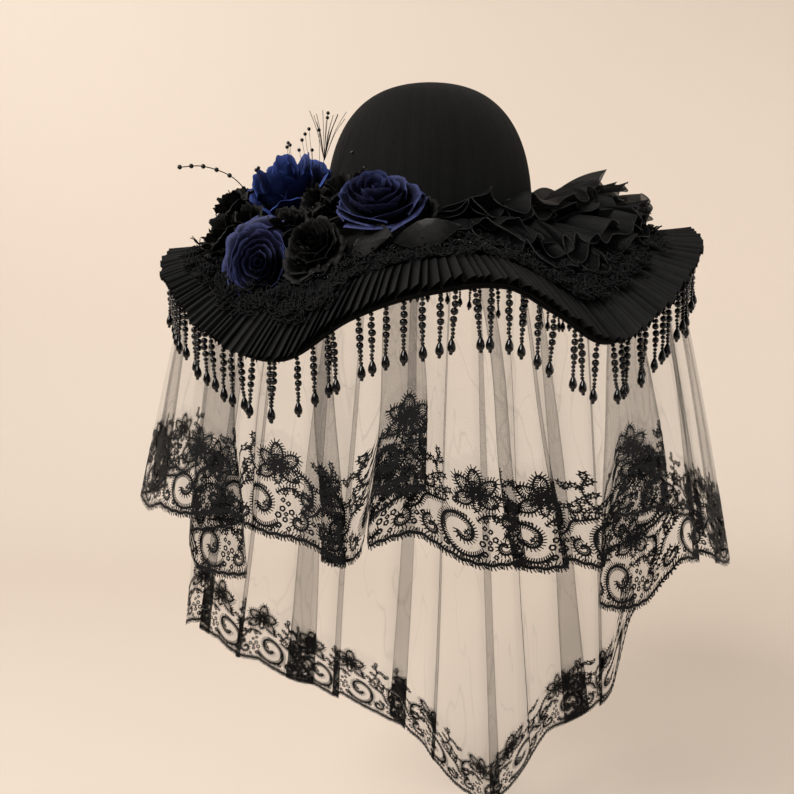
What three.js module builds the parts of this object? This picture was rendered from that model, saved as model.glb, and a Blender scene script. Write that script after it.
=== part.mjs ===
// A wide brim hat with a veil. A covered crown and a waved brim carry a pleated edge, a lace trim,
// organza ruffles and cloth flowers; a bead fringe and a veil in two lengths hang under the brim.
// Millimetres, +Z up, front towards -Y, origin in the middle of the head opening.
// A turn is an angle in degrees seen from above, from the front round towards +X.
import * as THREE from "three";
import { mergeVertices } from "three/addons/utils/BufferGeometryUtils.js";

// Clearance left at a sewn seam, and where a broad piece lies along the curved brim
const SEAM = 0.4;
const LAID = 1.6;

// Crown: an oval dome whose sides rise nearly straight and round over at the top
const CROWN = { halfWidth: 88, halfDepth: 101, height: 120, fullness: 2.6, wall: 2, columns: 28, rows: 7 };

// Brim: flat at the crown and waved at its edge; fall is how the drop grows towards the edge
const BRIM = { radius: 220, wall: 2, fall: 1.5, columns: 56, rows: 5 };
const BRIM_WAVES = [
  { turn: -98, drop: 21 },
  { turn: -65, drop: 47 },
  { turn: -43, drop: 81 },
  { turn: -28, drop: 89 },
  { turn: -15, drop: 60 },
  { turn: -3, drop: 44 },
  { turn: 11, drop: 39 },
  { turn: 20, drop: 56 },
  { turn: 31, drop: 78 },
  { turn: 45, drop: 61 },
  { turn: 64, drop: 27 },
  { turn: 95, drop: 5 },
  { turn: 138, drop: 55 },
  { turn: 180, drop: 25 },
  { turn: 222, drop: 58 },
];

// Trims that lie on the brim
const PLEATS = { inner: 187, outer: 225, count: 90, height: 3.2, stitched: 0.4, lean: 0.68, wall: 1 };
const LACE = { inner: 152, outer: 184, waves: 32, height: 3, wall: 1.2 };

// Organza ruffles: lift is how high the free edge stands over the brim, reach its radius
const RUFFLE = { wall: 1, rows: 2 };
const LOWER_RUFFLE = {
  name: "organza_ruffle_lower",
  from: 12,
  to: 250,
  foot: 1.7,
  fold: 9,
  waves: 15,
  edge: [
    { turn: 12, lift: 17, reach: 148 },
    { turn: 45, lift: 20, reach: 166 },
    { turn: 96, lift: 34, reach: 184 },
    { turn: 180, lift: 24, reach: 172 },
    { turn: 250, lift: 19, reach: 160 },
  ],
};
const UPPER_RUFFLE = {
  name: "organza_ruffle_upper",
  from: 4,
  to: 256,
  foot: 14,
  fold: 8,
  waves: 13,
  edge: [
    { turn: 4, lift: 28, reach: 122 },
    { turn: 45, lift: 36, reach: 138 },
    { turn: 88, lift: 54, reach: 146 },
    { turn: 180, lift: 44, reach: 140 },
    { turn: 256, lift: 36, reach: 128 },
  ],
};

// Cloth flowers: rings of petals from the foot out to the rim and in to the heart, as shares of size;
// face and tilt say where a flower looks, and sink how far its foot goes down between the lace's crinkles
const PETAL_RINGS = [
  { radius: 0.14, height: 0, lobe: 0 },
  { radius: 0.6, height: 0.14, lobe: 0 },
  { radius: 0.96, height: 0.46, lobe: 0.08 },
  { radius: 0.78, height: 0.32, lobe: 0 },
  { radius: 0.72, height: 0.74, lobe: -0.06 },
  { radius: 0.53, height: 0.46, lobe: 0 },
  { radius: 0.47, height: 0.9, lobe: 0.05 },
  { radius: 0.3, height: 0.62, lobe: 0 },
  { radius: 0.2, height: 1, lobe: 0 },
  { radius: 0, height: 0.84, lobe: 0 },
];
const FLOWER_COLUMNS = 10;
const FLOWERS = [
  { name: "blue_rose_left", cloth: "navy", turn: -51.5, reach: 163, radius: 29, height: 34,
    face: -40, tilt: 50, sink: 1.7 },
  { name: "blue_rose_front", cloth: "navy", turn: -16.5, reach: 127, radius: 32, height: 40,
    face: -10, tilt: 22, sink: 0 },
  { name: "blue_flower_top", cloth: "royal", turn: -71, reach: 124, radius: 33, height: 66,
    face: -80, tilt: 8, sink: 0 },
  { name: "black_rose_front", cloth: "black", turn: -33, reach: 154, radius: 21, height: 32,
    face: -28, tilt: 45, sink: 1.7 },
  { name: "black_rose_back", cloth: "black", turn: -95, reach: 160, radius: 24, height: 50,
    face: -100, tilt: 14, sink: 0.6 },
];

// Leaves that lie on the brim; heading is where the tip points, from along the turn to outwards,
// and over is the height of the leaf's top over the brim
const LEAF = { wall: 1, rows: 4, columns: 2 };
const LEAVES = [
  { name: "satin_leaf_front", turn: 2, reach: 146, length: 47, width: 19, heading: -12, over: 6.6, cup: 4 },
  { name: "satin_leaf_side", turn: -17, reach: 166, length: 32, width: 17, heading: 38, over: 5.4, cup: 3 },
  { name: "leaf_left", turn: -69, reach: 182, length: 30, width: 13, heading: 120, over: 6.6, cup: 5 },
  { name: "leaf_low", turn: -79, reach: 168, length: 26, width: 10, heading: 70, over: 5.5, cup: 4 },
  { name: "leaf_between", turn: -42, reach: 182, length: 24, width: 11, heading: 90, over: 5.1, cup: 3 },
  { name: "leaf_crown", turn: -44, reach: 124, length: 34, width: 15, heading: 10, over: 1.6, cup: 8 },
];

// Bead spray: a wire with beads strung along its outer half
const SPRAY = { wire: 0.6, bead: 1.9, beads: 5, sides: 5 };
const SPRAY_LINE = [
  { x: -146, y: -34, z: 27 },
  { x: -160, y: -46, z: 42 },
  { x: -180, y: -56, z: 49 },
  { x: -199, y: -60, z: 48 },
];

// Bead fringe: a tape under the brim's edge and strands that end in a drop
const FRINGE = { radius: 217, tapeWidth: 3.6, tapeHeight: 2.2, strands: 100, length: 39 };
const STRAND = [
  { down: 0.64, half: 1.2 },
  { down: 0.87, half: 2.4 },
];

// Veil: tulle hung under the brim; a fold doubles the cloth back over its width
const VEIL = { wall: 1, foldGap: 4.5, flare: 1.1, panelColumns: 4, billow: 4, scallop: 6, repeat: 74 };
const FRONT_VEIL = {
  from: -112,
  to: 118,
  top: 200,
  under: 2.6,
  rows: 3,
  folds: [
    { turn: -66, width: 24 },
    { turn: -38, width: 34 },
    { turn: -15, width: 18 },
    { turn: 0, width: 30 },
    { turn: 20, width: 12 },
    { turn: 38, width: 42 },
    { turn: 66, width: 24 },
    { turn: 92, width: 20 },
  ],
  hem: [
    { turn: -112, height: -228, reach: 242 },
    { turn: -60, height: -208, reach: 246 },
    { turn: -40, height: -235, reach: 240 },
    { turn: -25, height: -202, reach: 238 },
    { turn: -14, height: -216, reach: 238 },
    { turn: -4, height: -193, reach: 238 },
    { turn: 10, height: -218, reach: 238 },
    { turn: 24, height: -222, reach: 238 },
    { turn: 37, height: -262, reach: 240 },
    { turn: 50, height: -238, reach: 246 },
    { turn: 70, height: -262, reach: 256 },
    { turn: 118, height: -266, reach: 254 },
  ],
};
const BACK_VEIL = {
  from: 112,
  to: 262,
  top: 182,
  under: 1.7,
  rows: 4,
  folds: [
    { turn: 130, width: 34 },
    { turn: 152, width: 34 },
    { turn: 178, width: 40 },
    { turn: 204, width: 34 },
    { turn: 230, width: 34 },
  ],
  hem: [
    { turn: 112, height: -380, reach: 234 },
    { turn: 120, height: -480, reach: 236 },
    { turn: 140, height: -560, reach: 238 },
    { turn: 160, height: -680, reach: 238 },
    { turn: 186, height: -582, reach: 238 },
    { turn: 208, height: -525, reach: 238 },
    { turn: 238, height: -440, reach: 236 },
    { turn: 262, height: -366, reach: 234 },
  ],
};

// Colours of the cloths and beads
const CLOTH = {
  felt: { color: 0x1b1b1d, roughness: 0.92 },
  black: { color: 0x232322, roughness: 0.55 },
  pleat: { color: 0x1f1f20, roughness: 0.5 },
  lace: { color: 0x0d0d0e, roughness: 0.85 },
  organza: { color: 0x161617, roughness: 0.6 },
  navy: { color: 0x23265a, roughness: 0.45 },
  royal: { color: 0x1c3888, roughness: 0.5 },
  bead: { color: 0x060607, roughness: 0.12 },
  tulle: { color: 0x141415, roughness: 0.8 },
};

// Mixes from a to b
function mix(a, b, share) {
  return a + (b - a) * share;
}

// Reads a column of a table at a turn, on a smooth closed curve through its rows
function fromRows(rows, column, turn) {
  const count = rows.length;
  const start = rows[0].turn;
  const at = start + (((turn - start) % 360) + 360) % 360;
  const row = (k) => {
    const lap = Math.floor(k / count);
    const found = rows[k - lap * count];
    return { turn: found.turn + 360 * lap, value: found[column] };
  };
  let i = count - 1;
  while (rows[i].turn > at) {
    i -= 1;
  }
  const [before, a, b, after] = [row(i - 1), row(i), row(i + 1), row(i + 2)];
  const span = b.turn - a.turn;
  const u = (at - a.turn) / span;
  const leave = ((b.value - before.value) / (b.turn - before.turn)) * span;
  const arrive = ((after.value - a.value) / (after.turn - a.turn)) * span;
  const rise = b.value - a.value;
  return a.value + u * (leave + u * (3 * rise - 2 * leave - arrive + u * (leave + arrive - 2 * rise)));
}

// A point at a turn and radius
function around(turn, radius, z) {
  const angle = THREE.MathUtils.degToRad(turn);
  return new THREE.Vector3(radius * Math.sin(angle), -radius * Math.cos(angle), z);
}

// Radius of the crown's foot at a turn
function crownRadius(turn) {
  const angle = THREE.MathUtils.degToRad(turn);
  return 1 / Math.hypot(Math.sin(angle) / CROWN.halfWidth, Math.cos(angle) / CROWN.halfDepth);
}

// Top of the brim on one of its columns
function brimStation(radius, turn) {
  const foot = crownRadius(turn) + SEAM;
  const share = Math.max(0, (radius - foot) / (BRIM.radius - foot));
  return around(turn, radius, -fromRows(BRIM_WAVES, "drop", turn) * share ** BRIM.fall);
}

// Top of the brim anywhere, on the straight line between two of its columns, raised by a lift
function onBrim(radius, turn, lift) {
  const step = 360 / BRIM.columns;
  const column = Math.floor(turn / step);
  const point = brimStation(radius, column * step);
  point.lerp(brimStation(radius, (column + 1) * step), turn / step - column);
  point.z += lift;
  return point;
}

// Height of what lies on the brim under a point: the brim and its two trims
function trimHeight(point) {
  const radius = Math.hypot(point.x, point.y);
  const turn = THREE.MathUtils.radToDeg(Math.atan2(point.x, -point.y));
  const lace = radius > LACE.inner - 4 && radius < PLEATS.inner ? LACE.height + LACE.wall + LAID : 0;
  const pleat = radius >= PLEATS.inner - 4 ? PLEATS.height + PLEATS.wall + LAID : 0;
  return onBrim(radius, turn, Math.max(lace, pleat)).z;
}

// Turns a closed surface's faces outwards
function facingOut(geometry) {
  const merged = mergeVertices(geometry, 1e-4);
  const p = merged.attributes.position;
  const index = merged.index.array;
  const [a, b, c] = [new THREE.Vector3(), new THREE.Vector3(), new THREE.Vector3()];
  let volume = 0;
  for (let i = 0; i < index.length; i += 3) {
    a.fromBufferAttribute(p, index[i]);
    b.fromBufferAttribute(p, index[i + 1]);
    c.fromBufferAttribute(p, index[i + 2]);
    volume += a.dot(b.cross(c));
  }
  if (volume < 0) {
    index.reverse();
  }
  merged.computeVertexNormals();
  return merged;
}

// A surface from points and triangles, without the triangles that have no area
function surface(points, triangles) {
  const geometry = new THREE.BufferGeometry();
  const same = (i, j) => points[i].distanceTo(points[j]) < 1e-6;
  const kept = triangles.filter(([i, j, k]) => !same(i, j) && !same(j, k) && !same(k, i));
  geometry.setAttribute("position", new THREE.Float32BufferAttribute(points.flatMap((q) => q.toArray()), 3));
  geometry.setIndex(kept.flat());
  return facingOut(geometry);
}

// A closed wall between two grids of points [row][column]; a ring's last column meets its first
function wall(front, back, ring) {
  const rows = front.length;
  const columns = front[0].length;
  const triangles = [];
  const at = (side, row, column) => (side * rows + row) * columns + (column % columns);
  const quad = (a, b, c, d) => triangles.push([a, b, c], [a, c, d]);
  const spans = ring ? columns : columns - 1;
  for (let c = 0; c < spans; c += 1) {
    for (let r = 0; r + 1 < rows; r += 1) {
      quad(at(0, r, c), at(0, r, c + 1), at(0, r + 1, c + 1), at(0, r + 1, c));
      quad(at(1, r, c), at(1, r + 1, c), at(1, r + 1, c + 1), at(1, r, c + 1));
    }
    quad(at(0, 0, c), at(1, 0, c), at(1, 0, c + 1), at(0, 0, c + 1));
    quad(at(0, rows - 1, c), at(0, rows - 1, c + 1), at(1, rows - 1, c + 1), at(1, rows - 1, c));
  }
  for (let r = 0; !ring && r + 1 < rows; r += 1) {
    quad(at(0, r, 0), at(0, r + 1, 0), at(1, r + 1, 0), at(1, r, 0));
    quad(at(0, r, columns - 1), at(1, r, columns - 1), at(1, r + 1, columns - 1), at(0, r + 1, columns - 1));
  }
  return surface([...front.flat(), ...back.flat()], triangles);
}

// A grid of points, one for each row and column
function grid(rows, columns, place) {
  return Array.from({ length: rows }, (_, r) => Array.from({ length: columns }, (__, c) => place(r, c)));
}

// Points of the crown, set in from its outside; the first row is the foot at the brim's underside
function crownGrid(inset) {
  const power = 2 / CROWN.fullness;
  return grid(CROWN.rows + 2, CROWN.columns, (r, c) => {
    const climb = (Math.max(0, r - 1) / CROWN.rows) * (Math.PI / 2);
    const spread = r > CROWN.rows ? 0 : Math.cos(climb) ** power;
    const turn = (c / CROWN.columns) * 360;
    const radius = (crownRadius(turn) - inset) * spread;
    const z = r === 0 ? -BRIM.wall : Math.sin(climb) ** power * (CROWN.height - inset);
    return around(turn, radius, z);
  });
}

// Points of the brim, lowered from its top
function brimGrid(lower) {
  return grid(BRIM.rows + 1, BRIM.columns, (r, c) => {
    const turn = (c / BRIM.columns) * 360;
    const radius = mix(crownRadius(turn) + SEAM, BRIM.radius, r / BRIM.rows);
    return onBrim(radius, turn, -lower);
  });
}

// Points of the pleated edge: each pleat climbs slowly to its fold and drops sharply
function pleatGrid(lower) {
  return grid(2, PLEATS.count * 2, (r, c) => {
    const fold = c % 2;
    const turn = ((Math.floor(c / 2) + fold * PLEATS.lean) / PLEATS.count) * 360;
    const height = fold * PLEATS.height * (r === 0 ? PLEATS.stitched : 1);
    return onBrim(r === 0 ? PLEATS.inner : PLEATS.outer, turn, LAID + PLEATS.wall + height - lower);
  });
}

// Points of the lace trim, crinkled up and down
function laceGrid(lower) {
  return grid(2, LACE.waves * 2, (r, c) => {
    const turn = (c / (LACE.waves * 2)) * 360;
    const height = ((c + r) % 2) * LACE.height;
    return onBrim(r === 0 ? LACE.inner : LACE.outer, turn, LAID + LACE.wall + height - lower);
  });
}

// Points of a ruffle: gathered at the crown and waving more towards its free edge
function ruffleGrid(ruffle, lower) {
  const columns = ruffle.waves * 4 + 1;
  return grid(RUFFLE.rows + 1, columns, (r, c) => {
    const out = r / RUFFLE.rows;
    const turn = mix(ruffle.from, ruffle.to, c / (columns - 1));
    const wave = Math.sin((c * Math.PI) / 2);
    const sway = Math.cos((c * Math.PI) / 2) * out;
    const radius = mix(crownRadius(turn) + 1.5 * SEAM, fromRows(ruffle.edge, "reach", turn) + 4 * wave, out);
    const lift = mix(ruffle.foot, fromRows(ruffle.edge, "lift", turn) + ruffle.fold * wave, out);
    return onBrim(radius, turn + sway, lift - lower);
  });
}

// A flower: a turned body whose rings are lobed into petals, tipped towards where it faces
function flower(spec) {
  const points = PETAL_RINGS.flatMap((ring, k) =>
    Array.from({ length: FLOWER_COLUMNS }, (_, c) => {
      const lobe = 1 + ring.lobe * (c % 2 ? 1 : -1);
      const turn = ((c + k * 0.25) / FLOWER_COLUMNS) * 360;
      return around(turn, spec.radius * ring.radius * lobe, spec.height * ring.height);
    }),
  );
  const triangles = [];
  const at = (k, c) => k * FLOWER_COLUMNS + (c % FLOWER_COLUMNS);
  for (let c = 0; c < FLOWER_COLUMNS; c += 1) {
    for (let k = 0; k + 1 < PETAL_RINGS.length; k += 1) {
      triangles.push([at(k, c), at(k, c + 1), at(k + 1, c + 1)], [at(k, c), at(k + 1, c + 1), at(k + 1, c)]);
    }
    triangles.push([at(0, 0), at(0, c + 1), at(0, c)]);
  }
  const geometry = surface(points, triangles);
  const face = around(spec.face, Math.sin(THREE.MathUtils.degToRad(spec.tilt)), 0);
  face.z = Math.cos(THREE.MathUtils.degToRad(spec.tilt));
  geometry.applyQuaternion(new THREE.Quaternion().setFromUnitVectors(new THREE.Vector3(0, 0, 1), face));
  const foot = onBrim(spec.reach, spec.turn, 0);
  geometry.translate(foot.x, foot.y, foot.z);
  return seated(geometry, spec.sink);
}

// Lowers or raises a piece until it is a seam above the brim's trims, then sinks it between their crinkles
function seated(geometry, sink) {
  const p = geometry.attributes.position;
  const point = new THREE.Vector3();
  let nearest = Infinity;
  for (let i = 0; i < p.count; i += 1) {
    point.fromBufferAttribute(p, i);
    nearest = Math.min(nearest, point.z - trimHeight(point));
  }
  return geometry.translate(0, 0, SEAM - nearest - sink);
}

// Points of a leaf lying on the brim, pointed at both ends and cupped across
function leafGrid(leaf, lower) {
  const heading = THREE.MathUtils.degToRad(leaf.heading);
  return grid(LEAF.rows + 1, LEAF.columns + 1, (r, c) => {
    const along = r / LEAF.rows;
    const across = (c / LEAF.columns) * 2 - 1;
    const half = 0.5 + (leaf.width / 2 - 0.5) * Math.sin(Math.PI * along ** 0.8) ** 0.9;
    const forward = (along - 0.5) * leaf.length;
    const aside = across * half;
    const radius = leaf.reach + forward * Math.sin(heading) + aside * Math.cos(heading);
    const sideways = forward * Math.cos(heading) - aside * Math.sin(heading);
    const turn = leaf.turn + THREE.MathUtils.radToDeg(sideways / leaf.reach);
    const lift = leaf.over + leaf.cup * (across ** 2 * 0.5 + along ** 2) - lower;
    return onBrim(radius, turn, lift);
  });
}

// The bead spray: a thin round wire that swells into beads
function spray() {
  const line = new THREE.CatmullRomCurve3(SPRAY_LINE.map(({ x, y, z }) => new THREE.Vector3(x, y, z)));
  const stations = [{ at: 0, half: SPRAY.wire }];
  const beadShare = SPRAY.bead / line.getLength();
  for (let b = 0; b < SPRAY.beads; b += 1) {
    const middle = mix(0.36, 1 - beadShare, b / (SPRAY.beads - 1));
    stations.push({ at: middle - beadShare, half: SPRAY.wire });
    stations.push({ at: middle, half: SPRAY.bead });
    stations.push({ at: middle + beadShare, half: SPRAY.wire });
  }
  const up = new THREE.Vector3(0, 0, 1);
  const points = stations.flatMap(({ at, half }) => {
    const side = line.getTangentAt(at).cross(up).normalize();
    const over = side.clone().cross(line.getTangentAt(at));
    return Array.from({ length: SPRAY.sides }, (_, k) => {
      const angle = (k / SPRAY.sides) * Math.PI * 2;
      const point = line.getPointAt(at);
      point.addScaledVector(side, Math.cos(angle) * half);
      return point.addScaledVector(over, Math.sin(angle) * half);
    });
  });
  const triangles = [];
  const last = stations.length - 1;
  const at = (s, k) => s * SPRAY.sides + (k % SPRAY.sides);
  for (let k = 0; k < SPRAY.sides; k += 1) {
    for (let s = 0; s < last; s += 1) {
      triangles.push([at(s, k), at(s, k + 1), at(s + 1, k + 1)], [at(s, k), at(s + 1, k + 1), at(s + 1, k)]);
    }
    triangles.push([at(0, 0), at(0, k + 1), at(0, k)], [at(last, 0), at(last, k), at(last, k + 1)]);
  }
  return surface(points, triangles);
}

// The bead fringe: a three-sided tape whose under face runs down into a strand at each bead string
function fringe() {
  const points = [];
  const triangles = [];
  const quad = (a, b, c, d) => triangles.push([a, b, c], [a, c, d]);
  const halfTurn = THREE.MathUtils.radToDeg(FRINGE.tapeWidth / 2 / FRINGE.radius);
  const columns = FRINGE.strands * 2;
  for (let c = 0; c < columns; c += 1) {
    const turn = (Math.floor(c / 2) / FRINGE.strands) * 360 + (c % 2 ? halfTurn : -halfTurn);
    const ridge = onBrim(FRINGE.radius, turn, -BRIM.wall - LAID);
    const low = ridge.z - FRINGE.tapeHeight;
    points.push(ridge);
    points.push(around(turn, FRINGE.radius - FRINGE.tapeWidth / 2, low));
    points.push(around(turn, FRINGE.radius + FRINGE.tapeWidth / 2, low));
  }
  const at = (c, k) => (c % columns) * 3 + k;
  for (let c = 0; c < columns; c += 1) {
    quad(at(c, 0), at(c + 1, 0), at(c + 1, 1), at(c, 1));
    quad(at(c, 0), at(c, 2), at(c + 1, 2), at(c + 1, 0));
    if (c % 2) {
      quad(at(c, 1), at(c + 1, 1), at(c + 1, 2), at(c, 2));
    } else {
      strand([at(c, 1), at(c + 1, 1), at(c + 1, 2), at(c, 2)], points, triangles);
    }
  }
  return surface(points, triangles);
}

// One bead string, drawn down from four corners of the tape to the tip of its drop
function strand(corners, points, triangles) {
  const middle = new THREE.Vector3();
  corners.forEach((k) => middle.addScaledVector(points[k], 0.25));
  const add = (point) => points.push(point) - 1;
  let upper = corners;
  for (const { down, half } of STRAND) {
    const lower = corners.map((k) => {
      const aside = points[k].clone().sub(middle).setZ(0).setLength(half);
      return add(aside.add(middle).setZ(middle.z - down * FRINGE.length));
    });
    upper.forEach((k, i) => {
      const j = (i + 1) % 4;
      triangles.push([k, upper[j], lower[j]], [k, lower[j], lower[i]]);
    });
    upper = lower;
  }
  const tip = add(middle.clone().setZ(middle.z - FRINGE.length));
  upper.forEach((k, i) => triangles.push([k, upper[(i + 1) % 4], tip]));
}

// The way the cloth of a veil runs round the hat: each point's turn and how far inside it is folded
function foldedPath(veil) {
  const path = [];
  const degrees = (length) => THREE.MathUtils.radToDeg(length / veil.hem[0].reach);
  let start = veil.from;
  let inside = 0;
  const panel = (end) => {
    for (let i = 0; i < VEIL.panelColumns; i += 1) {
      const share = i / VEIL.panelColumns;
      const settle = Math.max(0, 1 - share * 2) * inside;
      const billow = VEIL.billow * Math.sin(Math.PI * share) * (inside ? share : 1);
      path.push({ turn: mix(start, end, share), inset: settle - billow });
    }
  };
  for (const fold of veil.folds) {
    const left = fold.turn - degrees(fold.width / 2);
    const right = fold.turn + degrees(fold.width / 2);
    panel(right);
    path.push({ turn: right, inset: 0 });
    path.push({ turn: right, inset: VEIL.foldGap });
    path.push({ turn: left, inset: VEIL.foldGap });
    path.push({ turn: left, inset: 2 * VEIL.foldGap });
    start = right;
    inside = 2 * VEIL.foldGap;
  }
  panel(veil.to);
  path.push({ turn: veil.to, inset: 0 });
  return path;
}

// Points of a veil down the middle of its cloth
function veilRows(veil) {
  const path = foldedPath(veil);
  const run = [0];
  path.forEach(({ turn, inset }, c) => {
    if (c > 0) {
      const step = around(turn, veil.hem[0].reach - inset, 0);
      run.push(run[c - 1] + step.distanceTo(around(path[c - 1].turn, veil.hem[0].reach - path[c - 1].inset, 0)));
    }
  });
  return grid(veil.rows + 1, path.length, (r, c) => {
    const { turn, inset } = path[c];
    const down = r / veil.rows;
    const top = onBrim(veil.top - inset * 0.8, turn, -BRIM.wall - veil.under);
    const reach = mix(veil.top, fromRows(veil.hem, "reach", turn), down ** VEIL.flare);
    const scallop = VEIL.scallop * Math.abs(Math.sin((Math.PI * run[c]) / VEIL.repeat));
    const hem = fromRows(veil.hem, "height", turn) - scallop;
    return around(turn, reach - inset * mix(0.8, 1, down), mix(top.z, hem, down));
  });
}

// A veil: its cloth given a thickness across the way it runs
function veil(spec) {
  const middle = veilRows(spec);
  const side = (sign) =>
    middle.map((row) =>
      row.map((point, c) => {
        const before = row[Math.max(0, c - 1)].clone().setZ(0);
        const after = row[Math.min(row.length - 1, c + 1)].clone().setZ(0);
        const here = point.clone().setZ(0);
        const arrive = here.clone().sub(before).normalize();
        const leave = after.clone().sub(here).normalize();
        const along = arrive.clone().add(leave).normalize();
        const across = new THREE.Vector3(along.y, -along.x, 0);
        const mitre = 1 / Math.max(0.6, c > 0 && c < row.length - 1 ? along.dot(leave) : 1);
        return point.clone().addScaledVector(across, (sign * VEIL.wall * mitre) / 2);
      }),
    );
  return wall(side(1), side(-1), false);
}

const group = new THREE.Group();
group.name = "wide_brim_hat_with_veil";

// Adds a named piece in its cloth
function piece(name, cloth, geometry) {
  const { color, roughness } = CLOTH[cloth];
  const mesh = new THREE.Mesh(geometry, new THREE.MeshStandardMaterial({ color, roughness, metalness: 0 }));
  mesh.name = name;
  group.add(mesh);
}

piece("crown", "felt", wall(crownGrid(0), crownGrid(CROWN.wall), true));
piece("brim", "felt", wall(brimGrid(0), brimGrid(BRIM.wall), true));
piece("pleated_edge", "pleat", wall(pleatGrid(0), pleatGrid(PLEATS.wall), true));
piece("lace_trim", "lace", wall(laceGrid(0), laceGrid(LACE.wall), true));
for (const ruffle of [LOWER_RUFFLE, UPPER_RUFFLE]) {
  piece(ruffle.name, "organza", wall(ruffleGrid(ruffle, 0), ruffleGrid(ruffle, RUFFLE.wall), false));
}
for (const spec of FLOWERS) {
  piece(spec.name, spec.cloth, flower(spec));
}
for (const leaf of LEAVES) {
  piece(leaf.name, "black", wall(leafGrid(leaf, 0), leafGrid(leaf, LEAF.wall), false));
}
piece("bead_spray", "bead", spray());
piece("bead_fringe", "bead", fringe());
piece("front_veil", "tulle", veil(FRONT_VEIL));
piece("back_veil", "tulle", veil(BACK_VEIL));

export default group;
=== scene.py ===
"""A wide brim hat with a veil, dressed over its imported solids.

Lengths are worked out in millimetres and placed in metres, with +Z up and the front towards -Y.
A turn is an angle in degrees seen from above, from the front round towards +X."""
import math
import bmesh
import bpy
import numpy as np
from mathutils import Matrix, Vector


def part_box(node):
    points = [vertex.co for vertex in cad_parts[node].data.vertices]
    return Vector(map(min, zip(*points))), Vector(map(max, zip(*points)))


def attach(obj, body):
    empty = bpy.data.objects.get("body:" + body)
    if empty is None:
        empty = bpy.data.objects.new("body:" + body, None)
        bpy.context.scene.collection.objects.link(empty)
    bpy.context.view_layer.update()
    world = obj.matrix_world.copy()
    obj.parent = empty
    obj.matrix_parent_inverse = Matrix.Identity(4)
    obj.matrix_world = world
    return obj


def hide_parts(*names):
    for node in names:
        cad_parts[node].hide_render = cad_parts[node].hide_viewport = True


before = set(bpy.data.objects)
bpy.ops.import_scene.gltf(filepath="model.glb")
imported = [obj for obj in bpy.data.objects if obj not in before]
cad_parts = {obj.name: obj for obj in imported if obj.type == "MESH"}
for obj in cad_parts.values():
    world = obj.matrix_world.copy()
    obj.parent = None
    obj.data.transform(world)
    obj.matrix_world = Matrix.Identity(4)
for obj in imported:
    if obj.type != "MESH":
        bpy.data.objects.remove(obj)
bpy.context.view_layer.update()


# Crown
# An oval dome of stiff felt under matt black crepe, drawn smooth over the top and gathered
# a little into the seam at its foot. It is open below for the head.

CROWN_HALF_WIDTH = 88
CROWN_HALF_DEPTH = 101
CROWN_HEIGHT = 120
CROWN_FULLNESS = 2.6
CROWN_WALL = 2
CROWN_COLUMNS = 168
CREASE_HALF_WIDTH = 2.2
FOOT_GATHERS = 46
CREPE_BLACK = (0.0092, 0.0090, 0.0091)
CREPE_DEEP = (0.0016, 0.0016, 0.0017)
# soft creases down the crepe: turn, depth
CROWN_CREASES = (
    (4, 0.9), (9, 1.5), (14, 0.8), (-14, 0.8), (-27, 0.6), (33, 0.8), (68, 0.7), (118, 0.8), (165, 0.7),
    (-150, 0.8), (-96, 0.6),
)


def around(turn, radius, height):
    """Points at a turn and radius round the hat's upright axis: radius times the turn's sine across,
    minus its cosine in depth, at the height."""
    angle = np.radians(turn)
    return np.stack(np.broadcast_arrays(radius * np.sin(angle), -radius * np.cos(angle), height), axis=-1)


def crown_foot(turn):
    """Radius of the crown's oval foot: one over the length of (sine over half width, cosine over half depth)."""
    angle = np.radians(turn)
    return 1 / np.hypot(np.sin(angle) / CROWN_HALF_WIDTH, np.cos(angle) / CROWN_HALF_DEPTH)


def grid_cells(rows, columns, ring=False, tube=False):
    """Row and column numbers at the four corners of each cell of a grid. A ring's cells go on past its last
    column, a tube's past its last row."""
    r, c = np.indices((rows - (not tube), columns - (not ring))).reshape(2, -1)
    return np.stack([r, r, r + 1, r + 1], axis=1), np.stack([c, c + 1, c + 1, c], axis=1)


def grid_faces(rows, columns, ring=False, tube=False):
    """Point numbers at the corners of each cell, where the row or column past the last is the first again."""
    corner_rows, corner_columns = grid_cells(rows, columns, ring, tube)
    return corner_rows % rows * columns + corner_columns % columns


def new_object(name, made):
    """A mesh, light or camera as an object of its own in the scene."""
    thing = bpy.data.objects.new(name, made)
    bpy.context.scene.collection.objects.link(thing)
    return thing


def place(name, points, faces, material, slot, stands_for=(), corners=None, closed=False):
    """Puts points in millimetres and their faces into a smooth mesh in metres that rides the hat. Corners are
    the faces' UVs in metres. A closed skin's points that meet are joined, and it is turned outwards."""
    mesh = bpy.data.meshes.new(name)
    mesh.from_pydata((np.asarray(points, float) * 0.001).tolist(), [], np.asarray(faces).tolist())
    if corners is not None:
        layer = mesh.uv_layers.new(name="cloth")
        layer.data.foreach_set("uv", np.asarray(corners, np.float32).ravel())
    if closed:
        skin = bmesh.new()
        skin.from_mesh(mesh)
        bmesh.ops.remove_doubles(skin, verts=skin.verts, dist=1e-6)
        bmesh.ops.recalc_face_normals(skin, faces=skin.faces)
        skin.to_mesh(mesh)
        skin.free()
    mesh.polygons.foreach_set("use_smooth", np.ones(len(mesh.polygons), bool))
    mesh.materials.append(material)
    mesh.update()
    piece = new_object(name, mesh)
    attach(piece, "root")
    if stands_for:
        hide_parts(*stands_for)
    return piece


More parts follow.
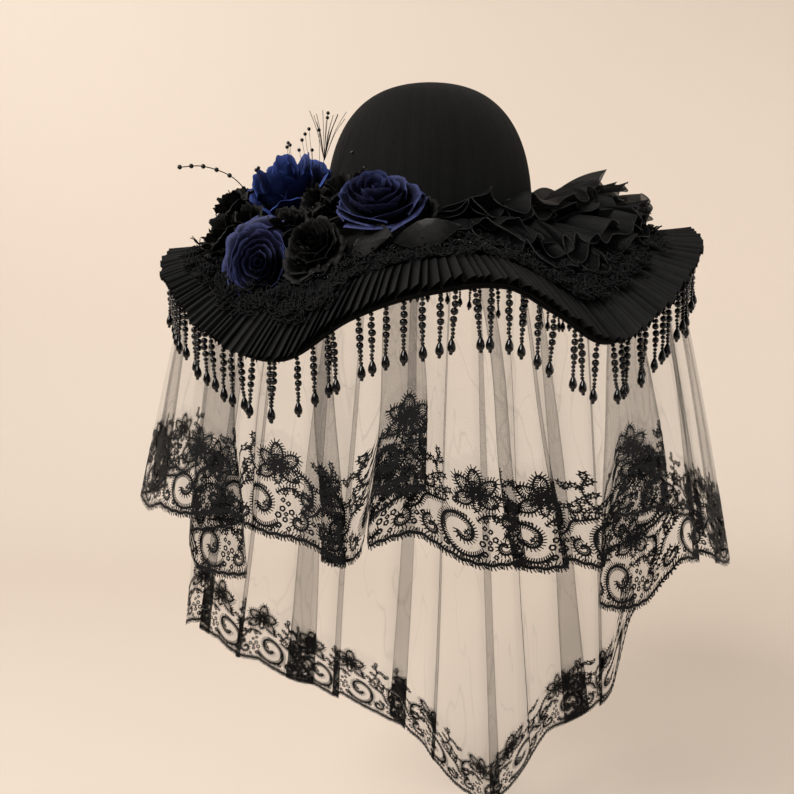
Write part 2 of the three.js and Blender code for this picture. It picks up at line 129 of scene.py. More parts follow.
def sew(name, points, material, slot, stands_for=(), ring=False, tube=False, closed=False):
    """A cloth from a grid of points [row, column]. Its UVs are the mean lengths run along its columns
    and down its rows, so a weave keeps its size all over it."""
    rows, columns = points.shape[:2]
    wide = np.linalg.norm(np.roll(points, -1, axis=1) - points, axis=2).mean(axis=0)
    tall = np.linalg.norm(np.roll(points, -1, axis=0) - points, axis=2).mean(axis=1)
    along, down = (np.concatenate([[0], np.cumsum(step)]) * 0.001 for step in (wide, tall))
    corner_rows, corner_columns = grid_cells(rows, columns, ring, tube)
    corners = np.stack([along[corner_columns], down[corner_rows]], axis=-1)
    faces = grid_faces(rows, columns, ring, tube)
    return place(name, points.reshape(-1, 3), faces, material, slot, stands_for, corners, closed)


def feed(fed, *values, **settings):
    """Sets a node's settings and sockets by name, then its sockets by place. Another node's socket is linked."""
    for key, value in [*settings.items(), *enumerate(values)]:
        socket = fed.inputs[key] if isinstance(key, int) else fed.inputs.get(key.replace("_", " "))
        if socket is None:
            setattr(fed, key, value)
        elif isinstance(value, bpy.types.NodeSocket):
            fed.id_data.links.new(value, socket)
        else:
            socket.default_value = value
    return fed


def new_finish(name, roughness, sheen, sheen_tint=(1, 1, 1), shine=0.10):
    """A bare Principled finish with its steady values set on the shader itself."""
    material = bpy.data.materials.new(name)
    material.use_nodes = True
    shader = material.node_tree.nodes["Principled BSDF"]
    feed(shader, Roughness=roughness, Specular_IOR_Level=shine)
    feed(shader, Sheen_Weight=sheen, Sheen_Roughness=0.4, Sheen_Tint=(*sheen_tint, 1))
    return material, shader


def node(material, kind, *values, **settings):
    """One new node of a finish, fed with its settings and sockets."""
    return feed(material.node_tree.nodes.new("ShaderNode" + kind), *values, **settings)


def noise(material, spot, scale, detail, **settings):
    """A cloudy noise over a spot's coordinates."""
    return node(material, "TexNoise", Vector=spot, Scale=scale, Detail=detail, **settings).outputs["Fac"]


def between(material, share, low, high, **settings):
    """A share carried from its range, 0 to 1, to the range from low to high."""
    return node(material, "MapRange", Value=share, To_Min=low, To_Max=high, **settings).outputs["Result"]


def reckon(material, operation, *values):
    """One step of arithmetic on sockets and numbers."""
    return node(material, "Math", *values, operation=operation).outputs[0]


# a wave texture's scale times the length of its wave, in metres
WAVE_SCALE = 0.314


def cloth_finish(name, colour, deep, roughness, sheen, thread, relief, crinkle=(60, 60), shine=0.10):
    """A woven cloth on its UVs: warp and weft are waves a thread apart, and their product is the fine relief.
    A noise stretched by the crinkle's two scales moves the colour between colour and deep, the gloss with it,
    and adds soft creases to the relief."""
    material, shader = new_finish(name, roughness, sheen, shine=shine)
    spot = node(material, "TexCoord").outputs["UV"]
    warp, weft = (
        node(material, "TexWave", bands_direction=way, Vector=spot, Scale=WAVE_SCALE / thread, Distortion=0.6)
        for way in "XY"
    )
    crossing = reckon(material, "MULTIPLY", warp.outputs["Fac"], weft.outputs["Fac"])
    stretch = node(material, "Mapping", Vector=spot, Scale=(*crinkle, 1))
    mottle = noise(material, stretch.outputs["Vector"], 1.0, 6.0, Roughness=0.6)
    shade = node(material, "Mix", data_type="RGBA", Factor=mottle, A=(*deep, 1), B=(*colour, 1))
    gloss = between(material, mottle, roughness - 0.08, min(1.0, roughness + 0.08))
    creases = node(material, "Bump", Strength=0.5, Distance=relief * 6, Height=mottle)
    bump = node(material, "Bump", Strength=0.6, Distance=relief, Height=crossing, Normal=creases.outputs["Normal"])
    feed(shader, Base_Color=shade.outputs["Result"], Roughness=gloss, Normal=bump.outputs["Normal"])
    return material


def crown_skin(inset, rows):
    """The dome as rows from its foot to its top: at a climb from 0 to a right angle the radius is the foot's
    times the climb's cosine, and the height its sine, both to the power that makes the shoulders full. Outside,
    the creases and the foot's fine gathers are taken off the radius."""
    climb = np.linspace(0, math.pi / 2, rows)[:, None]
    turn = np.linspace(0, 360, CROWN_COLUMNS, endpoint=False)[None, :]
    power = 2 / CROWN_FULLNESS
    spread = np.clip(np.cos(climb), 0, 1) ** power
    spread[-1] = 0
    height = np.sin(climb) ** power * (CROWN_HEIGHT - inset)
    low = (1 - height / CROWN_HEIGHT) * np.sqrt(np.clip(height / 18, 0, 1)) * spread
    crease = sum(
        deep * np.exp(-(((turn - at + 180) % 360 - 180) / CREASE_HALF_WIDTH) ** 2) for at, deep in CROWN_CREASES
    )
    gather = 0.22 * np.sin(np.radians(turn * FOOT_GATHERS)) * np.exp(-height / 10)
    hollow = (crease * low + gather * spread) * (inset == 0)
    return around(turn, (crown_foot(turn) - inset) * spread - hollow, height)


crepe = cloth_finish("black_crepe", CREPE_BLACK, CREPE_DEEP, 0.86, 0.035, 0.0009, 0.0005, (190, 16))
crown_inside, crown_outside = crown_skin(CROWN_WALL, 18), crown_skin(0, 44)
crown_points = np.concatenate([crown_inside[::-1], crown_outside])
sew("crown_crepe", crown_points, crepe, "covered_felt", ["crown"], ring=True, closed=True)


# Brim
# A wide stiffened brim covered in the same crepe above and below, sewn to the crown's foot.
# It lies flat at the crown and is waved at its edge: high in front and low to both sides of the face.

BRIM_RADIUS = 220
BRIM_FACE_RADIUS = BRIM_RADIUS - 0.8
BRIM_EDGE_RADIUS = BRIM_RADIUS - 0.2
BRIM_WALL = 2
BRIM_FALL = 1.5
SEAM = 0.4
# how far the edge drops: turn, drop
BRIM_WAVES = (
    (-98, 21), (-65, 47), (-43, 81), (-28, 89), (-15, 60), (-3, 44), (11, 39), (20, 56),
    (31, 78), (45, 61), (64, 27), (95, 5), (138, 55), (180, 25), (222, 58),
)


def through_rows(turn, rows, column=1):
    """A smooth closed curve through a table's rows: between two rows a cubic, whose slope at each row is
    that of the line joining the rows before and after it."""
    rows = np.asarray(rows, float)
    at = rows[0, 0] + np.mod(turn - rows[0, 0], 360)
    t = np.concatenate([rows[-2:, 0] - 360, rows[:, 0], rows[:3, 0] + 360])
    v = np.concatenate([rows[-2:, column], rows[:, column], rows[:3, column]])
    i = np.clip(np.searchsorted(t, at, side="right") - 1, 1, len(t) - 3)
    span = t[i + 1] - t[i]
    u = (at - t[i]) / span
    leave = (v[i + 1] - v[i - 1]) / (t[i + 1] - t[i - 1]) * span
    arrive = (v[i + 2] - v[i]) / (t[i + 2] - t[i]) * span
    rise = v[i + 1] - v[i]
    return v[i] + u * (leave + u * (3 * rise - 2 * leave - arrive + u * (leave + arrive - 2 * rise)))


def brim_top(radius, turn):
    """Height of the brim's top: minus the edge's drop times the share of the way out to the edge, to a power."""
    foot = crown_foot(turn) + SEAM
    share = np.clip((radius - foot) / (BRIM_RADIUS - foot), 0, None)
    return -through_rows(turn, BRIM_WAVES) * share ** BRIM_FALL


def on_brim(radius, turn, lift):
    """Points at a turn and radius, lifted over the brim's top."""
    return around(turn, radius, brim_top(radius, turn) + lift)


ring_turn = np.linspace(-180, 180, 360, endpoint=False)[None, :]
brim_out = np.linspace(0, 1, 28)[:, None]
brim_foot = crown_foot(ring_turn) + SEAM
brim_reach = brim_foot + (BRIM_FACE_RADIUS - brim_foot) * brim_out
brim_rim = np.stack([on_brim(BRIM_EDGE_RADIUS, ring_turn, lift)[0] for lift in (-0.5, -1.0, -1.5)])
brim_points = np.concatenate(
    [on_brim(brim_reach, ring_turn, 0.0), brim_rim, on_brim(brim_reach[::-1], ring_turn, -BRIM_WALL)]
)
brim_cloth = cloth_finish(
    "black_brim_cloth", (0.006, 0.006, 0.0062), (0.002, 0.002, 0.0022), 0.85, 0.03, 0.0008, 0.00025
)
sew("brim_cloth", brim_points, brim_cloth, "covered_felt", ["brim"], ring=True, tube=True, closed=True)


# Pleated edge
# A knife-pleated frill of black satin, stitched along its inner edge and fanning out a little
# past the brim's edge, so that it follows every wave.

PLEAT_COUNT = 232
PLEAT_INNER = 187
PLEAT_OUTER = 225
PLEAT_LIFT = 1.7
PLEAT_HEIGHT = 4.6
# one pleat across its width: share of the pitch, share of the height
PLEAT_SHAPE = np.array([
    (0.0, 0.0), (0.14, 0.30), (0.34, 0.58), (0.56, 0.82), (0.74, 0.97), (0.81, 1.0), (0.85, 0.7), (0.9, 0.1),
])


def satin_finish(name, colour, deep, light, roughness, sheen, sheen_tint):
    """Folded satin: the piece's own rim attribute runs the colour from a painted shade deep in the fold to a painted
    highlight at its rim, a noise gives crushed streaks in colour and relief, and the gloss follows them."""
    material, shader = new_finish(name, roughness, sheen, sheen_tint)
    spot = node(material, "TexCoord").outputs["Object"]
    rim = node(material, "Attribute", attribute_name="rim").outputs["Fac"]
    streak = noise(material, spot, 150.0, 5.0, Distortion=1.2)
    # painted light: the rim share, moved a little by the streaks, runs from the painted shade (deep) through the
    # colour to the painted highlight (light)
    painted_light_share = reckon(material, "MULTIPLY_ADD", reckon(material, "SUBTRACT", streak, 0.5), 0.28, rim)
    painted_light_ramp = node(material, "ValToRGB", Fac=painted_light_share)
    stops = painted_light_ramp.color_ramp.elements
    stops[0].color, stops[1].color = (*deep, 1), (*light, 1)
    stops[0].position = 0.42
    stops.new(0.86).color = (*colour, 1)
    gloss = between(material, streak, roughness - 0.12, roughness + 0.14)
    bump = node(material, "Bump", Strength=0.55, Distance=0.0008, Height=streak)
    feed(shader, Base_Color=painted_light_ramp.outputs["Color"], Roughness=gloss, Normal=bump.outputs["Normal"])
    return material


def pleat_cloth():
    """Each pleat climbs to its fold, which leans over the next pleat, and drops back. Its width is its own, its
    height grows from the stitched edge outwards, and the free edge flutters."""
    rng = np.random.default_rng(7)
    out = np.linspace(0, 1, 12)[:, None, None]
    width = rng.uniform(0.6, 1.4, PLEAT_COUNT)
    width *= 360 / width.sum()
    begin = (np.cumsum(width) - width)[None, :, None]
    width = width[None, :, None]
    own = 1 + rng.uniform(-0.3, 0.3, PLEAT_COUNT)[None, :, None]
    slip = rng.uniform(-0.16, 0.16, PLEAT_COUNT)[None, :, None]
    longer = rng.uniform(-1.6, 0.6, PLEAT_COUNT)[None, :, None]
    share, high = PLEAT_SHAPE[:, 0], PLEAT_SHAPE[:, 1]
    height = high * own * PLEAT_HEIGHT * (0.30 + 0.70 * out ** 0.8)
    turn = begin + (share + slip * out + 0.10 * high * out) * width
    reach = PLEAT_INNER + (PLEAT_OUTER - PLEAT_INNER + longer) * out
    flutter = 1.1 * out ** 2 * (1 + np.sin(np.radians(turn * 23)) * np.sin(np.radians(turn * 7 + 40)))
    points = on_brim(reach, turn, PLEAT_LIFT + height + flutter)
    return points.reshape(len(out), -1, 3)


def give(piece, name, values):
    """Sets a number of the piece's own at each of its points, for its finish to read."""
    held = piece.data.attributes.new(name, "FLOAT", "POINT")
    held.data.foreach_set("value", np.asarray(values, np.float32).ravel())


# the pleats' satin: its colour, its painted shade deep in each pleat and its painted highlight at each fold's crest
pleat_satin = satin_finish(
    "pleated_black_satin", (0.0085, 0.0085, 0.0087), (0.0006, 0.0006, 0.0006), (0.0125, 0.0125, 0.0128),
    0.62, 0.0, (1, 1, 1),
)
pleats = pleat_cloth()
pleated_edge = sew("pleated_edge_satin", pleats, pleat_satin, "pleated_satin", ["pleated_edge"], ring=True)
# painted shade in each pleat's valley and painted highlight at its crest, by the share of the pleat's height
pleat_painted_light = 0.12 + 0.88 * np.tile(PLEAT_SHAPE[:, 1], PLEAT_COUNT)
give(pleated_edge, "rim", np.broadcast_to(pleat_painted_light, pleats.shape[:2]))


# Lace trim
# A crinkled band of black lace gathered on the brim inside the pleats, thick with small looped
# florets, with a row of little glass beads stitched along it.

LACE_INNER = 151
LACE_OUTER = 187
FLORET_ROWS = (154, 162, 170, 178, 187)
FLORET_PITCH = 10.2
LOOPS_IN_FLORET = 5
LOOP_CORD_SHARE = 0.085
BEAD_ROW_RADIUS = 168
BEAD_ROW_STEP = 0.86
ROW_BEAD_RADIUS = 1.15
# where the lace spreads over the pleats: from, to, inner radius, outer radius, florets
LACE_CLUMPS = ((-74, -18, 184, 206, 120), (24, 66, 184, 198, 60))


def lace_lift(radius, turn):
    """Height of the crinkled lace over the brim: two crossing sets of ripples, higher where it lies on the pleats."""
    over_pleats = 5.0 * np.clip((radius - 184) / 12, 0, 1)
    broad = 1.3 * np.sin(np.radians(turn * 41) + radius * 0.21)
    return 2.6 + over_pleats + broad + 0.7 * np.sin(np.radians(turn * 97) - radius * 0.37)


def unit(vectors):
    """The vectors over their lengths."""
    return vectors / (np.linalg.norm(vectors, axis=-1, keepdims=True) + 1e-9)


def cord_along(line, half, sides=5, loop=False, up=(0.13, 0.07, 0.99)):
    """A thin round cord along a line of points: a ring of points about each, across the line's direction. A
    loop's last point runs on to its first."""
    ahead = unit(np.roll(line, -1, axis=0) - np.roll(line, 1, axis=0) if loop else np.gradient(line, axis=0))
    side = unit(np.cross(ahead, up))
    over = np.cross(side, ahead)
    b = np.linspace(0, 2 * math.pi, sides, endpoint=False)[None, :, None]
    points = line[:, None] + half * (np.cos(b) * side[:, None] + np.sin(b) * over[:, None])
    return points.reshape(-1, 3), grid_faces(len(line), sides, True, loop)


def loop_of_cord(segments, sides, half):
    """A flat teardrop loop of cord one long, lying along +X from the origin: length (1 - cos)/2, width sine. Half
    is the cord's radius as a share of that length."""
    a = np.linspace(0, 2 * math.pi, segments, endpoint=False)
    line = np.stack([(1 - np.cos(a)) / 2, 0.34 * np.sin(a) * np.sin(a / 2), 0.10 * np.sin(a / 2) ** 2], axis=1)
    return cord_along(line, half, sides, True, (0, 0, 1.0))


def repeated(shape, faces, frames, places):
    """Copies of one small shape: each copy's points are the shape's, turned by its frame of three axes and
    moved to its place."""
    points = np.einsum("nj,kji->kni", shape, frames) + places[:, None]
    counts = np.arange(len(places))[:, None, None] * len(shape)
    return points.reshape(-1, 3), (faces[None] + counts).reshape(-1, faces.shape[1])


def axes_for(ahead, up):
    """Frames of three axes: the first along ahead, the third as near up as it can be."""
    ahead = unit(ahead)
    aside = unit(np.cross(up, ahead))
    return np.stack([ahead, aside, np.cross(ahead, aside)], axis=1)


def lace_florets():
    """Rings of five loops on staggered rows round the brim, each loop tipped up by its own random angle."""
    rng = np.random.default_rng(11)
    spots = []
    for row, radius in enumerate(FLORET_ROWS):
        count = int(2 * math.pi * radius / FLORET_PITCH)
        turn = (np.arange(count) + 0.5 * (row % 2) + rng.uniform(-0.3, 0.3, count)) * 360 / count
        spots.append(np.stack([turn, radius + rng.uniform(-4, 4, count)], axis=1))
    for first, last, inner, outer, count in LACE_CLUMPS:
        spots.append(np.stack([rng.uniform(first, last, count), rng.uniform(inner, outer, count)], axis=1))
    spots = np.concatenate(spots)
    which = np.arange(LOOPS_IN_FLORET) + rng.uniform(0, 1, len(spots))[:, None]
    heading = which.ravel() * 360 / LOOPS_IN_FLORET
    turn, radius = np.repeat(spots, LOOPS_IN_FLORET, axis=0).T
    centre = on_brim(radius, turn, lace_lift(radius, turn))
    outward = unit(on_brim(radius + 1, turn, lace_lift(radius, turn)) - centre)
    sideways = unit(on_brim(radius, turn + 0.4, lace_lift(radius, turn)) - centre)
    up = np.cross(sideways, outward)
    up *= np.sign(up[:, 2:3])
    tip = np.radians(rng.uniform(2, 48, len(turn)))[:, None]
    spin = np.radians(heading)[:, None]
    ahead = np.cos(tip) * (np.cos(spin) * outward + np.sin(spin) * sideways) + np.sin(tip) * up
    size = rng.uniform(4.4, 8.6, len(turn))[:, None, None]
    return repeated(*loop_of_cord(7, 3, LOOP_CORD_SHARE), axes_for(ahead, up) * size, centre)


def thread_finish(name, colour, roughness, sheen):
    """Twisted thread on object coordinates: a fine noise sets its colour and the fuzz of its relief."""
    material, shader = new_finish(name, roughness, sheen)
    fuzz = noise(material, node(material, "TexCoord").outputs["Object"], 900.0, 4.0)
    dark, pale = ((*[c * share for c in colour], 1) for share in (0.5, 1.6))
    shade = node(material, "Mix", data_type="RGBA", Factor=fuzz, A=dark, B=pale)
    bump = node(material, "Bump", Strength=0.5, Distance=0.0002, Height=fuzz)
    feed(shader, Base_Color=shade.outputs["Result"], Normal=bump.outputs["Normal"])
    return material


lace_thread = thread_finish("black_lace_thread", (0.0050, 0.0050, 0.0053), 0.7, 0.03)
lace_reach = np.linspace(LACE_INNER, LACE_OUTER, 12)[:, None]
lace_turn = np.linspace(-180, 180, 720, endpoint=False)[None, :]
lace_ground = cloth_finish(
    "lace_ground_net", (0.005, 0.005, 0.0053), (0.001, 0.001, 0.0011), 0.9, 0.02, 0.0016, 0.0009, (220, 220)
)
lace_points = on_brim(lace_reach, lace_turn, lace_lift(lace_reach, lace_turn) - 0.4)
lace_band = sew("lace_trim_ground", lace_points, lace_ground, "black_lace", ["lace_trim"], ring=True)
place("lace_trim_florets", *lace_florets(), lace_thread, "black_lace")


def ball(segments, rings, pear=0.0):
    """A round bead of radius one: rings of points at even steps from its top to its bottom, with its widest
    part moved down by pear."""
    climb = np.linspace(0, math.pi, rings + 1)[:, None]
    a = np.linspace(0, 2 * math.pi, segments, endpoint=False)[None, :]
    wide = np.sin(climb) * (1 - pear * np.cos(climb))
    points = np.stack(np.broadcast_arrays(wide * np.cos(a), wide * np.sin(a), np.cos(climb)), axis=-1)
    return points.reshape(-1, 3), grid_faces(rings + 1, segments, True)


def beads_at(spots, radius, segments, rings):
    """Round beads of one radius, each about its spot."""
    return repeated(*ball(segments, rings), np.repeat(np.eye(3)[None] * radius, len(spots), axis=0), spots)


def glass_finish(name, colour, roughness):
    """Polished black glass: a cloud of fine scratches moves the gloss a little, under a clear coat."""
    material, shader = new_finish(name, roughness, 0.0, shine=0.32)
    wear = noise(material, node(material, "TexCoord").outputs["Object"], 700.0, 3.0)
    gloss = between(material, wear, roughness * 0.5, roughness * 2.2)
    feed(shader, Base_Color=(*colour, 1), Coat_Weight=0.05, Coat_Roughness=0.04, Roughness=gloss)
    return material


black_glass = glass_finish("black_glass_bead", (0.0014, 0.0014, 0.0016), 0.08)
bead_turn = np.arange(0, 360, BEAD_ROW_STEP)
bead_reach = BEAD_ROW_RADIUS + 2.0 * np.sin(np.radians(bead_turn * 9))
bead_spots = on_brim(bead_reach, bead_turn, lace_lift(bead_reach, bead_turn) + 1.5)
place("lace_trim_beads", *beads_at(bead_spots, ROW_BEAD_RADIUS, 8, 5), black_glass, "black_beads", closed=True)


# Organza ruffles
# Strips of sheer black organza gathered round the crown's foot, the lower lying out over the lace and
# the upper standing against the crown, each with a narrow rolled and stitched edge.

# free edge of a ruffle: turn, lift over the brim, radius
LOWER_EDGE = ((12, 17, 148), (45, 20, 166), (96, 34, 184), (180, 24, 172), (250, 19, 160))
UPPER_EDGE = ((4, 28, 122), (45, 36, 138), (88, 51, 146), (180, 44, 140), (256, 36, 128))
MIDDLE_EDGE = ((8, 16, 160), (45, 19, 172), (96, 24, 186), (180, 19, 174), (252, 15, 162))
FRONT_EDGE = ((-2, 9, 158), (30, 9, 172), (60, 10, 180), (100, 13, 187), (180, 12, 176), (250, 10, 164))
SIDE_EDGE = ((44, 24, 146), (70, 34, 158), (92, 45, 167), (120, 38, 162), (150, 24, 150))
ROLLED_EDGE_RADIUS = 0.38
ORGANZA_COVER = 0.86
# strips: name, edge, solid it stands for, from, to, foot, share of the edge's reach, share of its lift, waves,
# fold, start
RUFFLE_STRIPS = (
    ("lower_back", LOWER_EDGE, "organza_ruffle_lower", 10, 250, 1.7, 1.00, 1.00, 19, 8.0, 0.0),
    ("lower_middle", MIDDLE_EDGE, None, 4, 252, 2.5, 1.00, 1.00, 22, 8.5, 2.9),
    ("lower_front", FRONT_EDGE, None, -4, 250, 3.5, 1.00, 1.00, 20, 6.0, 1.7),
    ("upper_back", UPPER_EDGE, "organza_ruffle_upper", 3, 256, 12.0, 1.00, 0.98, 17, 7.0, 1.5),
    ("upper_middle", UPPER_EDGE, None, 1, 254, 9.0, 0.97, 0.72, 19, 8.0, 3.6),
    ("upper_front", UPPER_EDGE, None, -2, 252, 7.0, 0.88, 0.52, 16, 7.5, 2.4),
    ("upper_side", SIDE_EDGE, None, 44, 150, 8.0, 1.00, 1.00, 9, 6.0, 1.1),
)


def ruffle_cloth(edge, first, last, foot, reach_share, lift_share, waves, fold, start, rows=12):
    """A gathered strip: its lift and radius run from the foot to the free edge, with waves whose height
    grows outwards. The wave's cosine swings the cloth along the turn, so that folds roll over themselves,
    a slower wave bends tall ones half way out, the last part droops by its square, and a fine ripple at the
    foot is the gathering."""
    out = np.linspace(0, 1, rows)[:, None]
    turn = np.linspace(first, last, int((last - first) * 2.9))[None, :]
    along = np.radians((turn - first) / (last - first) * 360 * waves)
    phase = along + start + 1.3 * np.sin(along * 0.23 + start) + 0.8 * np.sin(along * 0.41 + 2 * start)
    strength = 0.68 + 0.32 * np.sin(along * 0.31 + start * 3)
    height = through_rows(turn, edge, 1) * lift_share
    droop = (0.13 + 0.09 * np.sin(phase * 0.5 + start)) * np.maximum(height - 14, 0)
    foot_reach = crown_foot(turn) + 0.8
    reach = foot_reach + (through_rows(turn, edge, 2) - foot_reach) * reach_share * out
    lift = foot + (height - foot) * out ** 0.8
    lift = lift + fold * strength * np.sin(phase) * out ** 0.8 + 1.2 * np.sin(phase * 2.3 + start) * out ** 2
    lift = lift + 0.08 * height * np.sin(phase * 0.7 + 2 * start) * np.sin(math.pi * out)
    lift = lift - droop * np.clip(out * 2.4 - 1.4, 0, 1) ** 2
    reach = reach + (3.0 * np.cos(phase * 1.5 + start) + 0.8 * np.sin(phase * 2.7)) * out
    reach = reach + np.sin(along * 6.3) * (1 - out) * out * 4
    swing = 2.7 * strength * np.cos(phase) * out ** 1.2
    full = np.clip(np.minimum(turn - first, last - turn) / 14, 0, 1) ** 0.6
    lift = np.maximum(foot + (lift - foot) * full, 4.2 * out + foot * (1 - out))
    return on_brim(foot_reach + (reach - foot_reach) * (0.35 + 0.65 * full), turn + swing * full, lift)


organza = cloth_finish(
    "black_organza", (0.0032, 0.0032, 0.0034), (0.0006, 0.0006, 0.0007), 0.5, 0.0, 0.0006, 0.0002, (90, 40), 0.16
)
feed(organza.node_tree.nodes["Principled BSDF"], Alpha=ORGANZA_COVER)
organza_edge = thread_finish("organza_rolled_edge", (0.0110, 0.0110, 0.0115), 0.5, 0.1)
for strip, edge, solid, first, last, *shape in RUFFLE_STRIPS:
    cloth = ruffle_cloth(edge, first, last, *shape)
    ruffle = sew("organza_" + strip, cloth, organza, "black_organza", [solid] if solid else [])
    rolled = cord_along(cloth[-1], ROLLED_EDGE_RADIUS, 4)
    rim = place("organza_edge_" + strip, *rolled, organza_edge, "black_organza", closed=True)


# Cloth flowers
# Roses of folded satin petals, stiffened and rolled back at the rim, wound ring round ring about a
# tight heart and stitched to the brim through the foot. Two are navy, one is brighter blue, two are black.

# rings of a rose from the heart out: petals, reach, height, half of the turn a petal wraps, roll at the rim
ROSE_RINGS = (
    (2, 0.09, 0.93, 150, 0.015),
    (3, 0.20, 0.99, 92, 0.035),
    (4, 0.33, 1.00, 74, 0.050),
    (5, 0.47, 0.95, 60, 0.070),
    (6, 0.62, 0.86, 51, 0.095),
    (6, 0.77, 0.74, 48, 0.130),
    (7, 0.92, 0.54, 42, 0.170),
)
# rings of a looser flower with upright petals
UPRIGHT_RINGS = (
    (3, 0.12, 0.94, 84, 0.02),
    (4, 0.28, 1.00, 56, 0.05),
    (6, 0.46, 0.97, 40, 0.09),
    (7, 0.66, 0.88, 35, 0.13),
    (8, 0.84, 0.74, 31, 0.16),
    (9, 0.98, 0.52, 28, 0.20),
)
# rings of an open flower with a few broad round petals
OPEN_RINGS = (
    (2, 0.14, 0.88, 80, 0.04),
    (3, 0.30, 1.00, 52, 0.08),
    (4, 0.50, 0.98, 42, 0.12),
    (5, 0.68, 0.90, 36, 0.15),
    (6, 0.86, 0.76, 32, 0.18),
    (7, 1.00, 0.54, 30, 0.24),
)
# flowers: solid, satin, rings, radius, height, face, tilt, share of the solid's width, how much taller than wide,
# nudge along X, Y and Z, seed
FLOWERS = (
    ("blue_rose_left", "navy", ROSE_RINGS, 31, 26, -10, 72, 1.26, 1.28, (11, -16, -17), 3),
    ("blue_rose_front", "navy", ROSE_RINGS, 34, 34, -8, 36, 1.08, 1.0, (2, 0, 4), 5),
    ("blue_flower_top", "royal", OPEN_RINGS, 33, 50, -30, 34, 1.30, 1.12, (10, 0, 0), 8),
    ("black_rose_front", "black", UPRIGHT_RINGS, 22, 32, -14, 56, 1.18, 1.08, (5, 0, -1), 12),
    ("black_rose_back", "black", UPRIGHT_RINGS, 26, 50, -90, 16, 1.04, 1.0, (12, 0, 0), 15),
)
SATIN_SLOTS = {"navy": "navy_satin", "royal": "royal_blue_cloth", "black": "black_satin", "leaf": "black_satin"}
# satins: name, colour, painted shade deep in the folds, painted highlight at the rims, roughness, sheen and its tint
SATINS = {
    "navy": ("navy_satin", (0.0105, 0.0122, 0.036), (0.0012, 0.0013, 0.0026), (0.042, 0.050, 0.138),
             0.50, 0.03, (0.5, 0.6, 1.0)),
    "royal": ("royal_blue_satin", (0.0160, 0.0285, 0.116), (0.0015, 0.0024, 0.010), (0.036, 0.064, 0.235),
              0.52, 0.03, (0.5, 0.6, 1.0)),
    "black": ("black_satin", (0.0066, 0.0066, 0.0064), (0.0008, 0.0008, 0.0008), (0.0140, 0.0138, 0.0132),
              0.56, 0.01, (1, 1, 1)),
    # the leaf's satin is a lighter copy of the black one: its lighter colours are a painted sheen
    "leaf": ("black_satin_leaf_painted_sheen", (0.0150, 0.0150, 0.0148), (0.0030, 0.0030, 0.0030), (0.0540, 0.0540, 0.0530),
             0.42, 0.02, (1, 1, 1)),
}


def petals(rings, radius, height, seed, across=17, up=13):
    """Petals round an axis: each wraps part of its ring, widening from a narrow foot. Its radius swells out
    low down and rolls out again at the rim, its corners are rounded off, and ripples along the rim and a
    random lean make each one its own."""
    rng = np.random.default_rng(seed)
    u = np.linspace(-1, 1, across)[None, None, :]
    v = np.linspace(0, 1, up)[None, :, None] ** 0.85
    sets = []
    for order, (count, reach, tall, wrap, roll) in enumerate(rings):
        own = rng.uniform(-1, 1, (6, count, 1, 1))
        turn = (np.arange(count)[:, None, None] + 0.5 * order + 0.2 * own[0]) * 360 / count
        width = 0.35 + 0.65 * np.sin(np.clip(v * 1.5, 0, 1) * math.pi / 2)
        rise = np.clip((v - 0.60) / 0.40, 0, 1)
        ripple = (np.sin(u * (4.6 + 1.5 * own[1]) + own[2] * 3) + 0.5 * np.sin(u * 10 + own[3] * 5)) * v ** 3
        swell = 0.12 + 0.88 * np.sin(np.clip(v * 1.25, 0, 1) * math.pi / 2) ** 0.9
        out = reach * swell * (1 + 0.07 * own[3]) + roll * rise ** 1.5 * (1 + 0.5 * own[4])
        out = out + (0.012 + 0.16 * roll) * ripple
        high = tall * (v - 0.24 * np.abs(u) ** 3 * v ** 2) + (0.008 + 0.12 * roll) * ripple
        high = high - 0.75 * roll * rise ** 2.6
        high = high * (1 + 0.08 * own[5]) + 0.02 * u * own[1] * v
        sets.append(around(turn + wrap * u * width + 5 * own[1] * v, radius * out, height * high))
    points = np.concatenate(sets)
    # the second value is the rim share from each petal's foot to its rim, for the satin's painted shade at the foot
    # and painted highlight at the rim
    return points, np.broadcast_to(v, points.shape[:3])


def facing(turn, tilt):
    """Three axes of a flower: its own +Z tipped from upright by the tilt towards the turn."""
    axis = around(turn, math.sin(math.radians(tilt)), math.cos(math.radians(tilt)))
    side = unit(np.cross((0, 1.0, 0), axis))
    return np.stack([side, np.cross(axis, side), axis])


satins = {kind: satin_finish(*looks) for kind, looks in SATINS.items()}


def petal_piece(name, points, rim, satin, stands_for):
    """Sews petals, each a grid [row, column], into one piece whose rim attribute runs from foot to rim, for the
    satin's painted shade at the foot and painted highlight at the rim.
    """
    count, up, across = points.shape[:3]
    faces = (grid_faces(up, across)[None] + np.arange(count)[:, None, None] * up * across).reshape(-1, 4)
    piece = place(name, points.reshape(-1, 3), faces, satins[satin], SATIN_SLOTS[satin], stands_for)
    give(piece, "rim", rim)
    return piece


for solid, satin, rings, radius, height, face, tilt, share, taller, nudge, seed in FLOWERS:
    points, rim = petals(rings, radius, height, seed)
    points = points @ facing(face, tilt)
    low, high = (np.array(corner) * 1000 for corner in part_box(solid))
    own_low, own_high = points.min(axis=(0, 1, 2)), points.max(axis=(0, 1, 2))
    fit = share * (high - low)[0] / (own_high - own_low)[0]
    points = (points - (own_low + own_high) / 2) * (fit, fit, fit * taller) + (low + high) / 2 + nudge
    petal_piece(solid + "_petals", points, rim, satin, [solid])

